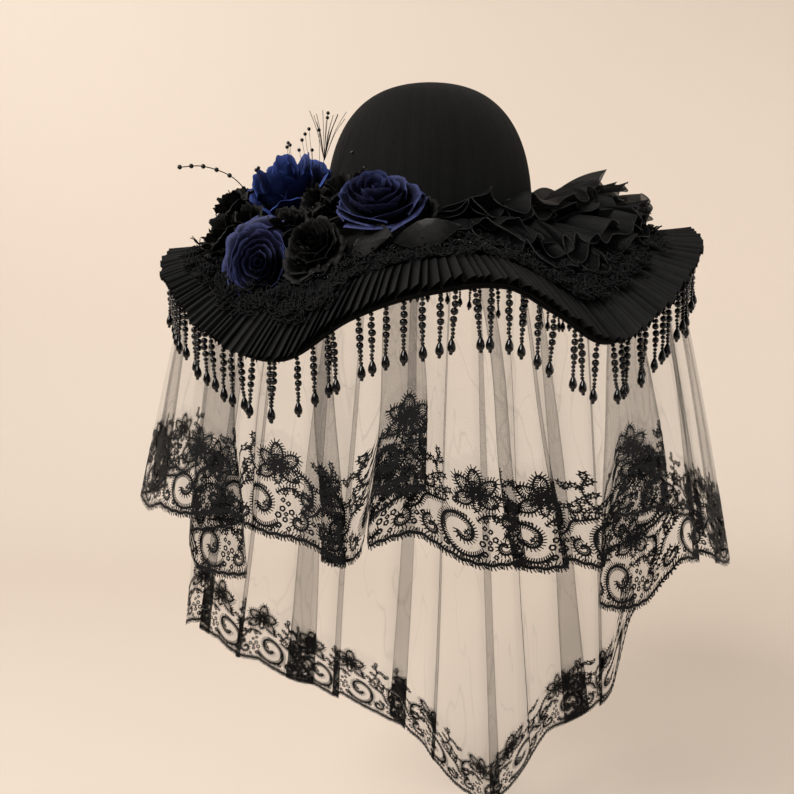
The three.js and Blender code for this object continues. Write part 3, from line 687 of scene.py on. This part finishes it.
# small black petal tufts tucked between the flowers: place of the heart, radius, height, face, tilt, seed
TUFT_RINGS = ((3, 0.30, 1.00, 52, 0.08), (4, 0.62, 0.90, 40, 0.16), (5, 0.94, 0.66, 34, 0.22))
PETAL_TUFTS = (
    ((-150, -62, 8), 17, 26, -75, 38, 31),
    ((-108, -108, -6), 14, 22, -40, 44, 32),
    ((-66, -90, 18), 15, 24, -30, 24, 33),
    ((-52, -100, 26), 10, 18, -10, 40, 34),
    ((-160, -80, -14), 13, 20, -70, 58, 35),
    ((-92, -136, -30), 13, 16, -25, 62, 36),
    ((-12, -118, 6), 13, 20, 0, 40, 37),
    ((-84, -90, 0), 15, 18, -30, 44, 38),
    ((-98, -92, -2), 14, 18, -40, 46, 39),
    ((-140, -96, -30), 15, 18, -60, 66, 40),
    ((-137, -84, 0), 14, 20, -50, 46, 42),
    ((-153, -84, -6), 14, 20, -64, 50, 43),
    ((-100, -112, -2), 11, 18, -30, 50, 44),
    ((-85, -84, 14), 13, 20, -30, 34, 45),
    ((-72, -98, 8), 12, 18, -24, 44, 46),
)
tufts = []
for heart, radius, height, face, tilt, seed in PETAL_TUFTS:
    points, rim = petals(TUFT_RINGS, radius, height, seed)
    tufts.append((points @ facing(face, tilt) + heart, rim))
petal_piece("black_petal_tufts", *(np.concatenate(parts) for parts in zip(*tufts)), "black", [])


# Leaves
# Stiffened satin leaves tucked round the flowers and stitched flat to the brim at the foot: two broad
# plain ones in front of the crown and small ones, most of them toothed, to the left.

# leaves: solid, turn, reach, length, width, heading, lift over the brim, cup, lean, teeth
LEAVES = (
    ("satin_leaf_front", -2, 164, 47, 21, -8, 8.5, 3, 6, 0),
    ("satin_leaf_side", -16, 163, 34, 18, 20, 11.0, 3, 6, 0),
    ("leaf_left", -67, 175, 30, 14, 120, 9.0, 5, 3, 9),
    ("leaf_low", -79, 168, 26, 10, 70, 5.5, 4, 2, 9),
    ("leaf_between", -42, 182, 24, 11, 90, 5.1, 3, 2, 7),
    ("leaf_crown", -44, 124, 34, 15, 10, 1.6, 8, 2, 0),
)


def leaf_cloth(turn, reach, length, width, heading, over, cup, lean, teeth):
    """A pointed oval lying on the brim, turned to its heading: its half width is a sine along its length,
    cut into teeth, its sides and tip curl up, it leans up towards the crown, and a vein runs down the middle with
    finer ones to its sides."""
    along = np.linspace(0, 1, 49)[:, None]
    across = np.linspace(-1, 1, 17)[None, :]
    saw = 1 - 0.16 * np.mod(along * teeth, 1) * (teeth > 0)
    half = 0.4 + (width / 2 - 0.4) * np.sin(math.pi * along ** 0.8) ** 0.9 * saw
    forward, aside = (along - 0.5) * length, across * half
    angle = math.radians(heading)
    radius = reach + forward * math.sin(angle) + aside * math.cos(angle)
    sideways = forward * math.cos(angle) - aside * math.sin(angle)
    vein = -0.5 * np.exp(-((across * half / 0.5) ** 2))
    vein = vein + 0.15 * np.sin(along * 40 - np.abs(across) * 6) * np.abs(across)
    lift = over + cup * (across ** 2 * 0.5 + along ** 2) - lean * across * np.sin(math.pi * along) + vein
    # the rim share: painted shade at the leaf's two ends and along its lower outer side, painted highlight along the
    # middle of its raised inner side
    rim = 0.25 + 0.75 * np.sin(math.pi * along) ** 1.5 * (0.6 - 0.4 * across)
    return on_brim(radius, turn + np.degrees(sideways / reach), lift), np.broadcast_to(rim, radius.shape)


for solid, *shape in LEAVES:
    points, rim = leaf_cloth(*shape)
    # the two broad satin leaves take the lighter leaf satin, whose lighter colours are a painted sheen
    satin = "leaf" if solid.startswith("satin") else "black"
    petal_piece(solid + "_satin", points[None], rim[None], satin, [solid])


# Sprays
# Fine black wires among the flowers: one with five beads that stands out to the left, a fan of stiff
# bristles beside the crown, short wires that each carry a bead, and sprigs of needles.

SPRAY_LINE = np.array([(-146, -34, 27), (-160, -46, 42), (-180, -56, 49), (-199, -60, 48)], float)
SPRAY_STEPS = 48
SPRAY_BEADS = 5
SPRAY_BEAD_RADIUS, SPRAY_WIRE_RADIUS = 1.9, 0.45
# bristles: root, middle of the fan's tips, how far the tips spread, count
BRISTLE_FAN = ((-84, -62, 53), (-82, -62, 85), (16, 5, 6), 14)
BRISTLE_RADIUS, BRISTLE_BOW = 0.26, 4
# short beaded wires: root, tip
BEADED_WIRES = (
    ((-92, -56, 30), (-95.7, -62, 76.8)), ((-94, -56, 30), (-98.8, -62, 73.0)),
    ((-95, -56, 28), (-101.3, -62, 68.5)), ((-92, -58, 26), (-93.5, -62, 60.9)),
    ((-97, -58, 26), (-103.7, -62, 60.9)), ((-87, -58, 32), (-80.7, -62, 88.8)),
    ((-87, -58, 32), (-81.2, -62, 85.3)), ((-88, -58, 32), (-87.9, -62, 76.0)),
    ((-108, -58, 26), (-110.7, -62, 64.7)), ((-109, -58, 26), (-113.0, -63, 63.0)),
    ((-109, -58, 26), (-112.2, -61, 66.4)), ((-128, -62, 12), (-136.5, -70, 44.8)),
    ((-128, -62, 12), (-134.6, -70, 46.4)), ((-66, -88, 22), (-60.5, -88, 56.0)),
    ((-60, -92, 18), (-51.2, -96, 44.0)),
)
WIRE_RADIUS, WIRE_BEAD_RADIUS = 0.2, 1.45


def smooth_line(stops, count):
    """A smooth line through a few stops, by the cubic that passes through four neighbours at a time."""
    p = np.concatenate([2 * stops[:1] - stops[1:2], stops, 2 * stops[-1:] - stops[-2:-1]])
    t = np.linspace(0, len(stops) - 1 - 1e-6, count)
    i = t.astype(int)
    f = (t - i)[:, None]
    a, b, c, d = p[i], p[i + 1], p[i + 2], p[i + 3]
    return b + 0.5 * f * (c - a + f * (2 * a - 5 * b + 4 * c - d + f * (3 * (b - c) + d - a)))


def joined(parts):
    """Several meshes' points and faces as one."""
    counts = np.cumsum([0] + [len(points) for points, _ in parts])
    faces = [cells + start for (_, cells), start in zip(parts, counts)]
    return np.concatenate([points for points, _ in parts]), np.concatenate(faces)


spray_wire = smooth_line(SPRAY_LINE, SPRAY_STEPS)
bead_at = np.linspace(0.36, 0.985, SPRAY_BEADS) * (SPRAY_STEPS - 1)
spray_spots = np.stack([np.interp(bead_at, np.arange(SPRAY_STEPS), way) for way in spray_wire.T], axis=1)
spray = joined([cord_along(spray_wire, SPRAY_WIRE_RADIUS), beads_at(spray_spots, SPRAY_BEAD_RADIUS, 12, 8)])
place("bead_spray_wire", *spray, black_glass, "black_beads", ["bead_spray"], closed=True)

fan_root, fan_tip, fan_spread, fan_count = BRISTLE_FAN
fan_rng = np.random.default_rng(21)
fan_tips = np.array(fan_tip) + fan_rng.uniform(-1, 1, (fan_count, 3)) * fan_spread
fan_parts = []
for tip in fan_tips:
    bow = (np.array(fan_root) + tip) / 2 + (0, 0, BRISTLE_BOW)
    fan_parts.append(cord_along(smooth_line(np.array([fan_root, bow, tip], float), 10), BRISTLE_RADIUS, 3))
bristle = thread_finish("stiff_black_bristle", (0.006, 0.006, 0.006), 0.5, 0.0)
place("bristle_fan", *joined(fan_parts), bristle, "black_beads", closed=True)

wire_parts = [cord_along(smooth_line(np.array(ends, float), 8), WIRE_RADIUS, 3) for ends in BEADED_WIRES]
wire_tips = np.array([tip for _, tip in BEADED_WIRES], float)
wire_parts.append(beads_at(wire_tips, WIRE_BEAD_RADIUS, 10, 6))
place("beaded_wires", *joined(wire_parts), black_glass, "black_beads", closed=True)

# sprigs of short needles beside the left rose: foot, tip, needles, length of a needle
SPRIGS = (
    ((-166, -76, -34), (-183, -78, -9), 44, 5.0), ((-160, -88, -34), (-176, -96, -20), 28, 5.0),
    ((-150, -70, -8), (-166, -70, 8), 24, 5.0),
)
STEM_RADIUS, NEEDLE_RADIUS = 0.4, 0.42
sprig_parts = []
sprig_rng = np.random.default_rng(41)
for foot, tip, needles, length in SPRIGS:
    stem = smooth_line(np.array([foot, tip], float), needles)
    sprig_parts.append(cord_along(stem, STEM_RADIUS, 4))
    aim = unit(sprig_rng.normal(0, 1, (needles, 3)) + (np.array(tip) - foot) / 24)
    ends = zip(stem, stem + aim * length)
    sprig_parts += [cord_along(np.linspace(root, end, 3), NEEDLE_RADIUS, 3) for root, end in ends]
place("needle_sprigs", *joined(sprig_parts), bristle, "black_satin", closed=True)


# Bead fringe
# Strings of black glass beads hung from a narrow tape sewn under the brim's edge: small beads, then
# round ones, then seed beads, and a long smooth drop with a seed bead at its tip.

FRINGE_RADIUS = 217
FRINGE_STRANDS = 124
TAPE_HEIGHT = 3.6
TAPE_HALF_WIDTH = 0.8
TAPE_DROP = BRIM_WALL - 0.3
THREAD_RADIUS, THREAD_LENGTH = 0.25, 39.0
# strings hang more evenly about the middle of the front: its turn, how far to each side
EVEN_FRONT = (4, 17)
# beads down a string: distance below the tape, half width, half length
STRING_BEADS = (
    (1.0, 1.6, 1.4), (4.0, 1.9, 1.6), (8.1, 2.5, 2.4), (12.9, 2.65, 2.5), (17.7, 2.5, 2.4), (21.6, 1.9, 1.6),
    (24.5, 1.55, 1.3), (27.0, 1.5, 1.25), (29.3, 1.45, 1.2), (40.0, 1.3, 1.1),
)
DROP_BEAD = (34.6, 2.6, 4.9)
# strings that have come loose at the right and hang low: turn, how much lower
LOOSE_STRINGS = np.array([(78.5, 12), (80.5, 34), (82.0, 20), (83.5, 6)])

rng = np.random.default_rng(31)
even_turn = np.arange(FRINGE_STRANDS) * 360 / FRINGE_STRANDS
bunching = np.where(np.abs((even_turn - EVEN_FRONT[0] + 180) % 360 - 180) < EVEN_FRONT[1], 0.25, 1.25)
even_turn = even_turn + rng.uniform(-1, 1, FRINGE_STRANDS) * bunching
string_turn = np.concatenate([even_turn, LOOSE_STRINGS[:, 0]])
string_drop = np.concatenate([np.zeros(FRINGE_STRANDS), LOOSE_STRINGS[:, 1]])
tape_ends = on_brim(FRINGE_RADIUS, string_turn, -TAPE_DROP - TAPE_HEIGHT)
string_top = tape_ends - string_drop[:, None] * (0, 0, 1)
string_count = len(string_turn)
sway = np.concatenate([rng.normal(0, 0.05, (string_count, 2)), -np.ones((string_count, 1))], axis=1)
fall, wide, tall = (np.array(column) for column in zip(*STRING_BEADS))
jiggle = rng.normal(0, 0.18, (string_count, len(fall), 3)) * (1, 1, 0.4)
round_spots = (string_top[:, None] + sway[:, None] * fall[None, :, None] + jiggle).reshape(-1, 3)
round_frames = np.eye(3) * np.stack([wide, wide, tall], axis=1)[:, None]
round_beads = repeated(*ball(8, 6), np.tile(round_frames, (string_count, 1, 1)), round_spots)
place("fringe_round_beads", *round_beads, black_glass, "black_beads", ["bead_fringe"], closed=True)

drop_spots = string_top + sway * DROP_BEAD[0]
drop_frames = np.repeat(np.diag([DROP_BEAD[1], DROP_BEAD[1], DROP_BEAD[2]])[None], string_count, axis=0)
drop_beads = repeated(*ball(8, 9, 0.5), drop_frames, drop_spots)
place("fringe_drops", *drop_beads, black_glass, "black_beads", closed=True)

thread_ends = np.stack([tape_ends, string_top + sway * THREAD_LENGTH], axis=1)
threads = joined([cord_along(ends, THREAD_RADIUS, 3) for ends in thread_ends])
place("fringe_threads", *threads, lace_thread, "black_beads", closed=True)
tape_turn = np.linspace(-180, 180, 480, endpoint=False)[None, :]
tape_top = brim_top(FRINGE_RADIUS, tape_turn) - TAPE_DROP
tape_points = np.concatenate([
    around(tape_turn, FRINGE_RADIUS + out, tape_top - down)
    for out, down in ((0, 0), (TAPE_HALF_WIDTH, TAPE_HEIGHT), (-TAPE_HALF_WIDTH, TAPE_HEIGHT))
])
sew("fringe_tape", tape_points, lace_thread, "black_beads", ring=True, tube=True, closed=True)


# Veil
# Fine black tulle in two lengths, pleated into a seam under the brim: a short one over the face and
# sides and a long one down the back. Both end in a border of corded lace with a scalloped edge.

VEIL_FOLD_GAP = 4.5
VEIL_FLARE = 0.88
VEIL_STEP = 1.7
NET_MESH = 0.0015
LACE_REPEAT = 74.0
SCALLOP = 6.0
# folds: turn at the seam, turn at the hem, width at the seam, width at the hem, how far the outer layer is drawn
# up, how far the inner ones hang lower
FRONT_FOLDS = (
    (-84, -86, 14, 22, 0, 0), (-52, -41.5, 40, 62, 0, 44), (-36, -31.5, 5, 4, 0, 0), (-23, -17.5, 14, 22, 0, 6),
    (-7, -6.5, 26, 42, 34, 0), (8, 13.5, 12, 10, 0, 0), (16, 20.5, 4, 6, 0, 0), (43, 35, 30, 60, 38, 31),
    (60, 53, 5, 8, 0, 0), (77, 69, 10, 24, 0, 0), (96, 91, 10, 20, 0, 0),
)
# hem: turn, height, radius
FRONT_HEM = (
    (-112, -228, 242), (-60, -208, 246), (-41, -197, 240), (-25, -202, 238), (-15, -216, 238), (-10, -202, 238),
    (-3, -200, 238), (10, -217, 238), (24, -222, 238), (36, -231, 240), (50, -236, 246), (70, -260, 256),
    (118, -266, 254),
)
BACK_FOLDS = (
    (121, 123, 5, 8, 0, 0), (141, 131, 6, 34, 0, 0), (152, 146, 3, 4, 0, 0), (161, 157, 5, 16, 0, 0),
    (170, 176, 4, 6, 0, 0), (182, 186, 8, 20, 8, 0), (199, 205, 4, 10, 0, 0), (210, 217, 6, 36, 0, 0),
    (230, 238, 4, 6, 0, 0), (244, 251, 6, 16, 0, 0),
)
BACK_HEM = (
    (112, -380, 234), (120, -480, 236), (140, -560, 238), (160, -680, 238), (186, -582, 238), (208, -525, 238),
    (238, -440, 236), (262, -366, 234),
)
# veils: solid, from, to, folds, hem, radius of the seam, how far under the brim, rows, start of the ripples
VEILS = (
    ("front_veil", -112, 118, FRONT_FOLDS, FRONT_HEM, 200, 2.6, 46, 0.4),
    ("back_veil", 112, 262, BACK_FOLDS, BACK_HEM, 182, 1.7, 58, 1.3),
)


def fold_stops(first, last, folds, reach, turn_column, width_column):
    """Corners of the way the cloth runs round the hat, as turn, inset, draw-up and one inside a fold. A panel
    runs on to the far side of a fold, doubles back over the fold's width behind itself, runs on again inside
    and settles out."""
    arc = math.degrees(1 / reach)
    stops = [(first, 0.0, 0.0, 0.0)]
    sides = [[row[turn_column] + side * row[width_column] / 2 * arc for side in (-1, 1)] for row in folds]
    for row, (left, right), (next_left, _) in zip(folds, sides, sides[1:] + [(last, last)]):
        width, draw, drop = row[width_column], row[4], row[5]
        gap = VEIL_FOLD_GAP * min(1, 0.25 + width / 30)
        settled = min(right + (8 + 0.35 * width) * arc, (right + next_left) / 2)
        stops += [
            (left, 0, 0, 0), (left + 2 * arc, 0, draw, 1), (right, 0, draw, 1), (right, gap, draw, 1),
            (left, gap, (draw - drop) / 2, 1), (left, 2 * gap, -drop, 1), (right, 2 * gap, -drop, 1),
            (settled, 0, 0, 0),
        ]
    return np.array(stops + [(last, 0.0, 0.0, 0.0)])


def veil_cloth(first, last, folds, hem, top, under, rows, seed):
    """A hanging veil: the fold's corners at the seam and at the hem are stepped evenly along the hem, their
    corners rounded by averaging with neighbours, and each column falls from one to the other, flaring from the
    top's radius to the hem's and swaying to the side on its way. Long ripples run down it, and the hem is cut
    in scallops one lace repeat long. The crowding is one where the cloth turns back and a third inside a fold."""
    reach = hem[0][2]
    seam_stops = fold_stops(first, last, folds, reach, 0, 2)
    hem_stops = fold_stops(first, last, folds, reach, 1, 3)
    flat = np.stack([np.radians(hem_stops[:, 0]) * reach, hem_stops[:, 1]], axis=1)
    run = np.concatenate([[0], np.cumsum(np.linalg.norm(np.diff(flat, axis=0), axis=1))])
    along = np.arange(0, run[-1], VEIL_STEP)
    weights = np.exp(-np.linspace(-2, 2, 7) ** 2 / 2)
    paths = []
    for stops in (seam_stops, hem_stops):
        path = np.stack([np.interp(along, run, stops[:, k]) for k in range(4)], axis=1)
        padded = np.concatenate([np.repeat(path[:1], 3, axis=0), path, np.repeat(path[-1:], 3, axis=0)])
        paths.append(sum(w * padded[k:k + len(path)] for k, w in enumerate(weights / weights.sum())))
    down = np.linspace(0, 1, rows)[:, None]
    turn = paths[0][None, :, 0] + (paths[1] - paths[0])[None, :, 0] * down ** 0.8
    sway = 1.5 * np.sin(turn / 9 + 4.2 * down + seed) + 0.5 * np.sin(turn / 3.7 - 6.5 * down + 2 * seed)
    turn = turn + (sway + 0.25 * np.sin(along / 23 + 4 * down)) * down * (1.3 - down)
    inset = paths[0][None, :, 1] + (paths[1] - paths[0])[None, :, 1] * down
    ripple = 1.5 * np.sin(along / 17 + seed + down * 1.2) + 0.9 * np.sin(along / 8.3 + 2 * seed - down)
    ripple = ripple + 2.8 * np.sin(along / 41 + 3 * seed)
    gathers = 1.3 * np.sin(along / 3.1) * np.exp(-down * 7)
    start = brim_top(top - inset[:1] * 0.8, turn[:1]) - BRIM_WALL - under
    radius = top + (through_rows(turn[-1:], hem, 2) - top) * down ** VEIL_FLARE - inset * (0.8 + 0.2 * down)
    radius = radius + ripple * down * (1 - 0.35 * down) - np.abs(gathers) * down * 8
    scallop = SCALLOP * np.abs(np.sin(math.pi * along[None] / LACE_REPEAT))
    end = through_rows(turn[-1:], hem, 1) - scallop + paths[1][None, :, 2]
    turning = np.gradient(paths[1][:, 0]) / math.degrees(VEIL_STEP / reach)
    crowd = np.exp(-((turning / 0.45) ** 2)) + 0.35 * paths[1][:, 3]
    return around(turn, radius, start + (end - start) * down), along, np.broadcast_to(crowd, turn.shape)


def tulle_finish(name):
    """Fine net on its UVs: threads crossing at sixty degrees are thick and the holes between them clear, and a
    slow cloud makes the net denser in places. Thin creases follow the middle level of a stretched noise. The
    piece's own crowd attribute darkens folds, and its hem attribute thickens the lace's ground."""
    material, shader = new_finish(name, 0.7, 0.02)
    spot = node(material, "TexCoord").outputs["UV"]
    threads = []
    for turn in (30, 90, 150):
        aim = node(material, "Mapping", Vector=spot, Rotation=(0, 0, math.radians(turn))).outputs["Vector"]
        wave = node(material, "TexWave", bands_direction="X", Vector=aim, Scale=WAVE_SCALE / NET_MESH)
        threads.append(wave.outputs["Fac"])
    net = reckon(material, "MAXIMUM", reckon(material, "MAXIMUM", *threads[:2]), threads[2])
    cover = between(material, reckon(material, "POWER", net, 5.0), 0.045, 0.10)
    cloud = noise(material, spot, 26.0, 3.0)
    cover = reckon(material, "MULTIPLY", cover, between(material, cloud, 0.75, 1.25))
    for attribute, weight in (("hem", 0.07), ("crowd", 0.30)):
        share = node(material, "Attribute", attribute_name=attribute).outputs["Fac"]
        cover = reckon(material, "MULTIPLY_ADD", share, weight, cover)
    slant = node(material, "Mapping", Vector=spot, Rotation=(0, 0, math.radians(9)), Scale=(30, 7, 1))
    level = reckon(material, "SUBTRACT", noise(material, slant.outputs["Vector"], 1.0, 2.0, Distortion=0.5), 0.5)
    crease = between(material, reckon(material, "ABSOLUTE", level), 0.20, 0.0, From_Max=0.012)
    cover = reckon(material, "MULTIPLY_ADD", crease, cloud, cover)
    feed(shader, Base_Color=(0.0055, 0.0055, 0.006, 1), Alpha=cover)
    return material


def lace_ground_share(cloth, along):
    """One on the lace's ground, which ends in a soft waved line about 70 mm over the hem, and nothing above it."""
    over = np.linalg.norm(cloth - cloth[-1:], axis=2)
    edge = 66 + 8 * np.cos(2 * math.pi * (along - 47) / LACE_REPEAT)
    return np.clip((edge[None] - over) / 3, 0, 1)


tulle = tulle_finish("black_tulle")
veils = []
for solid, *shape in VEILS:
    cloth, along, crowd = veil_cloth(*shape)
    veil = sew(solid + "_tulle", cloth, tulle, "black_tulle", [solid])
    give(veil, "hem", lace_ground_share(cloth, along))
    give(veil, "crowd", crowd)
    veils.append((solid, veil, cloth, along))


# Lace border
# Corded embroidery worked on the veil's hem, one repeat after another: a flower of hairy petals, a big
# curled scroll, small scrolls, a twig, berries and a thick picot edge along the scallops.


def spiral(x, y, first_radius, last_radius, first_turn, last_turn, steps=40):
    """A scroll about a point: its radius and angle run evenly from first to last."""
    t = np.linspace(0, 1, steps)
    r, a = first_radius + (last_radius - first_radius) * t, np.radians(first_turn + (last_turn - first_turn) * t)
    return np.stack([x + r * np.cos(a), y + r * np.sin(a)], axis=1)


def petal_loop(x, y, angle, inner, length, width, steps=20):
    """A closed pointed leaf that starts inner away from a point and runs out along an angle: its half width is
    a sine of the way from foot to tip, out on one side and back on the other."""
    t = np.linspace(0, 2, steps)
    s = 1 - np.abs(1 - t)
    a = math.radians(angle)
    out, side = inner + length * s, np.sign(1 - t) * width / 2 * np.sin(math.pi * s) ** 0.8
    return np.stack([x + out * math.cos(a) - side * math.sin(a), y + out * math.sin(a) + side * math.cos(a)], axis=1)


def bent_line(stops, steps=24):
    """A smooth line through a few stops on the flat cloth, by the same cubic."""
    return smooth_line(np.array(stops, float), steps)


BORDER_HEIGHT = 0.86
BORDER_LIFT = 0.3
# hairs of a cord: distance apart, slant, half width at the foot and at the tip
HAIR_STEP, HAIR_SLANT, HAIR_FOOT, HAIR_TIP = 1.8, 0.45, 0.6, 0.42
# one repeat of the border: line on the cloth (along the hem, up from it), cord's width, length of its hairs
BORDER = (
    [(petal_loop(45, 56, a, 2.2, 17.0, 9.5, 22), 1.7, 2.7) for a in (94, 150, 207, 330, 28)]
    + [(petal_loop(45, 56, a, 3.0, 9.5, 0.6, 8), 0.9, 1.4) for a in (94, 150, 207, 330, 28)]
    + [(petal_loop(45, 56, 268, 2.0, 12.0, 5.5, 16), 1.3, 1.6)]
    + [(spiral(45, 56, 1.9, 1.9, 0, 360, 12), 1.2, 0.0)]
    + [
        (spiral(31, 25, 3.0, 19.0, -170, 320), 2.1, 2.4),
        (spiral(31, 25, 13.5, 13.0, 70, 200, 24), 0.9, 0.8),
        (spiral(9, 15, 1.5, 7.5, 200, -260), 1.8, 1.9),
        (spiral(61, 16, 1.5, 8.0, -20, 440), 1.8, 1.9),
        (spiral(68, 34, 1.2, 6.5, 160, -240, 30), 1.6, 1.7),
        (spiral(6, 47, 1.2, 6.0, 20, 420, 30), 1.6, 1.7),
        (bent_line([(22, 43), (16, 52), (13, 62), (15, 70)]), 1.0, 1.0),
        (bent_line([(64, 24), (71, 36), (69, 48), (60, 55)]), 1.8, 2.1),
        (bent_line([(0, 27), (4, 35), (12, 38), (20, 41)]), 1.8, 2.2),
        (bent_line([(74, 27), (70, 23), (64, 24)], 10), 1.8, 2.2),
        (bent_line([(44, 36), (50, 40), (57, 40), (63, 36)], 16), 1.6, 1.9),
    ]
    + [(petal_loop(x, y, a, 0.4, 7.0, 3.2, 12), 1.1, 0.9) for x, y, a in (
        (21, 45, 160), (19, 48, 30), (16, 53, 170), (14.5, 57, 20), (13, 63, 150), (13.5, 66, 40), (15, 70, 95),
        (33, 24, 30), (66, 28, 10), (70, 37, 170), (69, 44, 20),
        (52, 41, 250), (57, 41, 290), (6, 36, 100), (12, 39, 70), (3, 60, 60), (3, 60, 130))]
    + [(spiral(x, y, r, r, 0, 360, 10), 1.6, 0.0) for x, y, r in (
        (19.3, 10.6, 1.9), (24.6, 9.7, 1.6), (46.2, 11.1, 2.0), (50.7, 15.9, 1.8), (45.5, 18.9, 2.1),
        (41.4, 9.2, 1.6), (53.8, 9.2, 1.7), (48.4, 24.1, 2.0), (52.7, 28.4, 1.7), (55.4, 22.2, 2.0),
        (48.7, 30.9, 1.6), (51.2, 20.2, 1.5), (2.3, 20.4, 1.7), (70.4, 11.6, 1.9), (72.1, 18.3, 1.6),
        (58.2, 47.3, 1.6), (27.4, 46.2, 1.8), (29.3, 51.1, 1.5))]
    + [
        (np.stack([np.linspace(0, LACE_REPEAT, 64), 3.6 + 0.7 * np.sin(np.linspace(0, 44, 64))], axis=1), 2.5, 2.8),
    ]
)


def border_cords():
    """Every cord of one repeat as a flat ribbon of its width, stepped evenly, with a slanting hair to both sides
    at each step: points on the flat cloth and their four-cornered faces."""
    points, faces, start = [], [], 0
    for line, width, hair in BORDER:
        run = np.concatenate([[0], np.cumsum(np.linalg.norm(np.diff(line, axis=0), axis=1))])
        even = np.linspace(0, run[-1], max(3, int(run[-1] / HAIR_STEP)))
        line = np.stack([np.interp(even, run, way) for way in line.T], axis=1)
        ahead = unit(np.gradient(line, axis=0))
        side = np.stack([-ahead[:, 1], ahead[:, 0]], axis=1)
        points.append(np.stack([line - side * width / 2, line + side * width / 2], axis=1).reshape(-1, 2))
        k = np.arange(len(line) - 1)[:, None] * 2
        faces.append(start + np.concatenate([k, k + 1, k + 3, k + 2], axis=1))
        start += len(line) * 2
        for sign in (1, -1) if hair > 0 else ():
            tip = line + sign * side * (width / 2 + hair) + ahead * HAIR_SLANT * hair
            foot, end = ahead * HAIR_FOOT, ahead * HAIR_TIP
            points.append(np.stack([line - foot, line + foot, tip + end, tip - end], axis=1).reshape(-1, 2))
            faces.append(start + np.arange(len(line) * 4).reshape(-1, 4))
            start += len(line) * 4
    return np.concatenate(points) * (1, BORDER_HEIGHT), np.concatenate(faces)


def worked_on(cloth, along, points, faces):
    """The border carried onto a veil: every repeat's flat points find their column by the way along the cloth
    and their row by the height over the hem, and stand just off the tulle on its outer side."""
    rows, columns = cloth.shape[:2]
    repeats = int(along[-1] / LACE_REPEAT)
    stretch = along[-1] / (repeats * LACE_REPEAT)
    x = (points[None, :, 0] + np.arange(repeats)[:, None] * LACE_REPEAT).ravel() * stretch
    y = np.tile(points[:, 1], repeats)
    column = np.clip(x / VEIL_STEP, 0, columns - 1.001)
    c = column.astype(int)
    f = (column - c)[:, None]
    length = np.linalg.norm(cloth[-1] - cloth[0], axis=1)[c]
    row = (1 - y / length) * (rows - 1)
    r = np.clip(row.astype(int), 0, rows - 2)
    g = (row - r)[:, None]
    upper = cloth[r, c] * (1 - f) + cloth[r, c + 1] * f
    lower = cloth[r + 1, c] * (1 - f) + cloth[r + 1, c + 1] * f
    normal = unit(np.cross(cloth[r, c + 1] - cloth[r, c], cloth[r + 1, c] - cloth[r, c]))
    counts = np.arange(repeats)[:, None, None] * len(points)
    return upper * (1 - g) + lower * g - BORDER_LIFT * normal, (faces[None] + counts).reshape(-1, 4)


border = border_cords()
for solid, veil, cloth, along in veils:
    lace = place(solid + "_lace", *worked_on(cloth, along, *border), lace_thread, "black_tulle")
    wide = along[-1] * 0.001


# Stage, light and camera
# A plain cream floor that curves up into a backdrop, lit softly from the upper left, seen from a little
# under the brim's height and close to the hat. Its lengths are in metres.

STAGE_FLOOR = -0.74
STAGE_BEND = 0.6
STAGE_ROWS, STAGE_COLUMNS = 60, 20
sweep = np.linspace(0, 1, STAGE_ROWS)[:, None]
back = np.clip(sweep / 0.5, 0, 1) * 3.4 - 2.2
bend = np.clip((sweep - 0.5) / 0.2, 0, 1) * math.pi / 2
wall = np.clip((sweep - 0.7) / 0.3, 0, 1) * 2.4
stage_y = back + STAGE_BEND * np.sin(bend)
stage_z = STAGE_FLOOR + STAGE_BEND * (1 - np.cos(bend)) + wall
stage_x = np.linspace(-4, 4, STAGE_COLUMNS)[None, :]
stage_points = np.stack(np.broadcast_arrays(stage_x, stage_y, stage_z), axis=-1)
stage_mesh = bpy.data.meshes.new("cream_backdrop")
stage_mesh.from_pydata(stage_points.reshape(-1, 3).tolist(), [], grid_faces(STAGE_ROWS, STAGE_COLUMNS).tolist())
stage_mesh.polygons.foreach_set("use_smooth", np.ones(len(stage_mesh.polygons), bool))
cream, cream_shader = new_finish("cream_paper", 0.95, 0.0)
feed(cream_shader, Base_Color=(0.82, 0.725, 0.635, 1))
stage_mesh.materials.append(cream)
backdrop = new_object("cream_backdrop", stage_mesh)


def soft_box(name, spot, aim, size, power, colour):
    """A square light at a spot, pitched and turned by the angles of the line from its aim to the spot."""
    light = bpy.data.lights.new(name, "AREA")
    light.size = size
    light.energy = power
    light.color = colour
    lamp = new_object(name, light)
    x, y, z = np.array(spot, float) - np.array(aim, float)
    lamp.location, lamp.rotation_euler = spot, (math.atan2(math.hypot(x, y), z), 0, math.atan2(x, -y))


soft_box("key_light", (-1.2, -1.5, 1.4), (0, 0, -0.1), 0.9, 61, (1.0, 0.97, 0.93))
soft_box("fill_light", (1.6, -1.2, 0.4), (0, 0, -0.1), 1.0, 3, (1.0, 0.97, 0.94))
soft_box("back_light_left", (-1.7, 0.1, 1.3), (-0.5, 1.6, 0.4), 1.2, 18, (1.0, 0.96, 0.92))
soft_box("back_light_right", (1.8, 0.1, 0.2), (0.6, 1.2, -0.74), 1.2, 13, (1.0, 0.96, 0.92))
world = bpy.data.worlds.new("studio")
world.use_nodes = True
feed(world.node_tree.nodes["Background"], Color=(1.0, 0.95, 0.89, 1), Strength=0.18)
scene = bpy.context.scene
scene.world = world
scene.view_settings.view_transform = "Standard"
scene.cycles.transparent_max_bounces = 40

CAMERA_DIP = 8.69
camera = bpy.data.cameras.new("camera")
camera.lens = 40.35
camera.sensor_width = 36
camera.clip_start = 0.02
viewpoint = new_object("camera", camera)
viewpoint.location = (-0.027, -0.780, -0.025)
viewpoint.rotation_euler = (math.radians(90 - CAMERA_DIP), 0, 0)
scene.camera = viewpoint
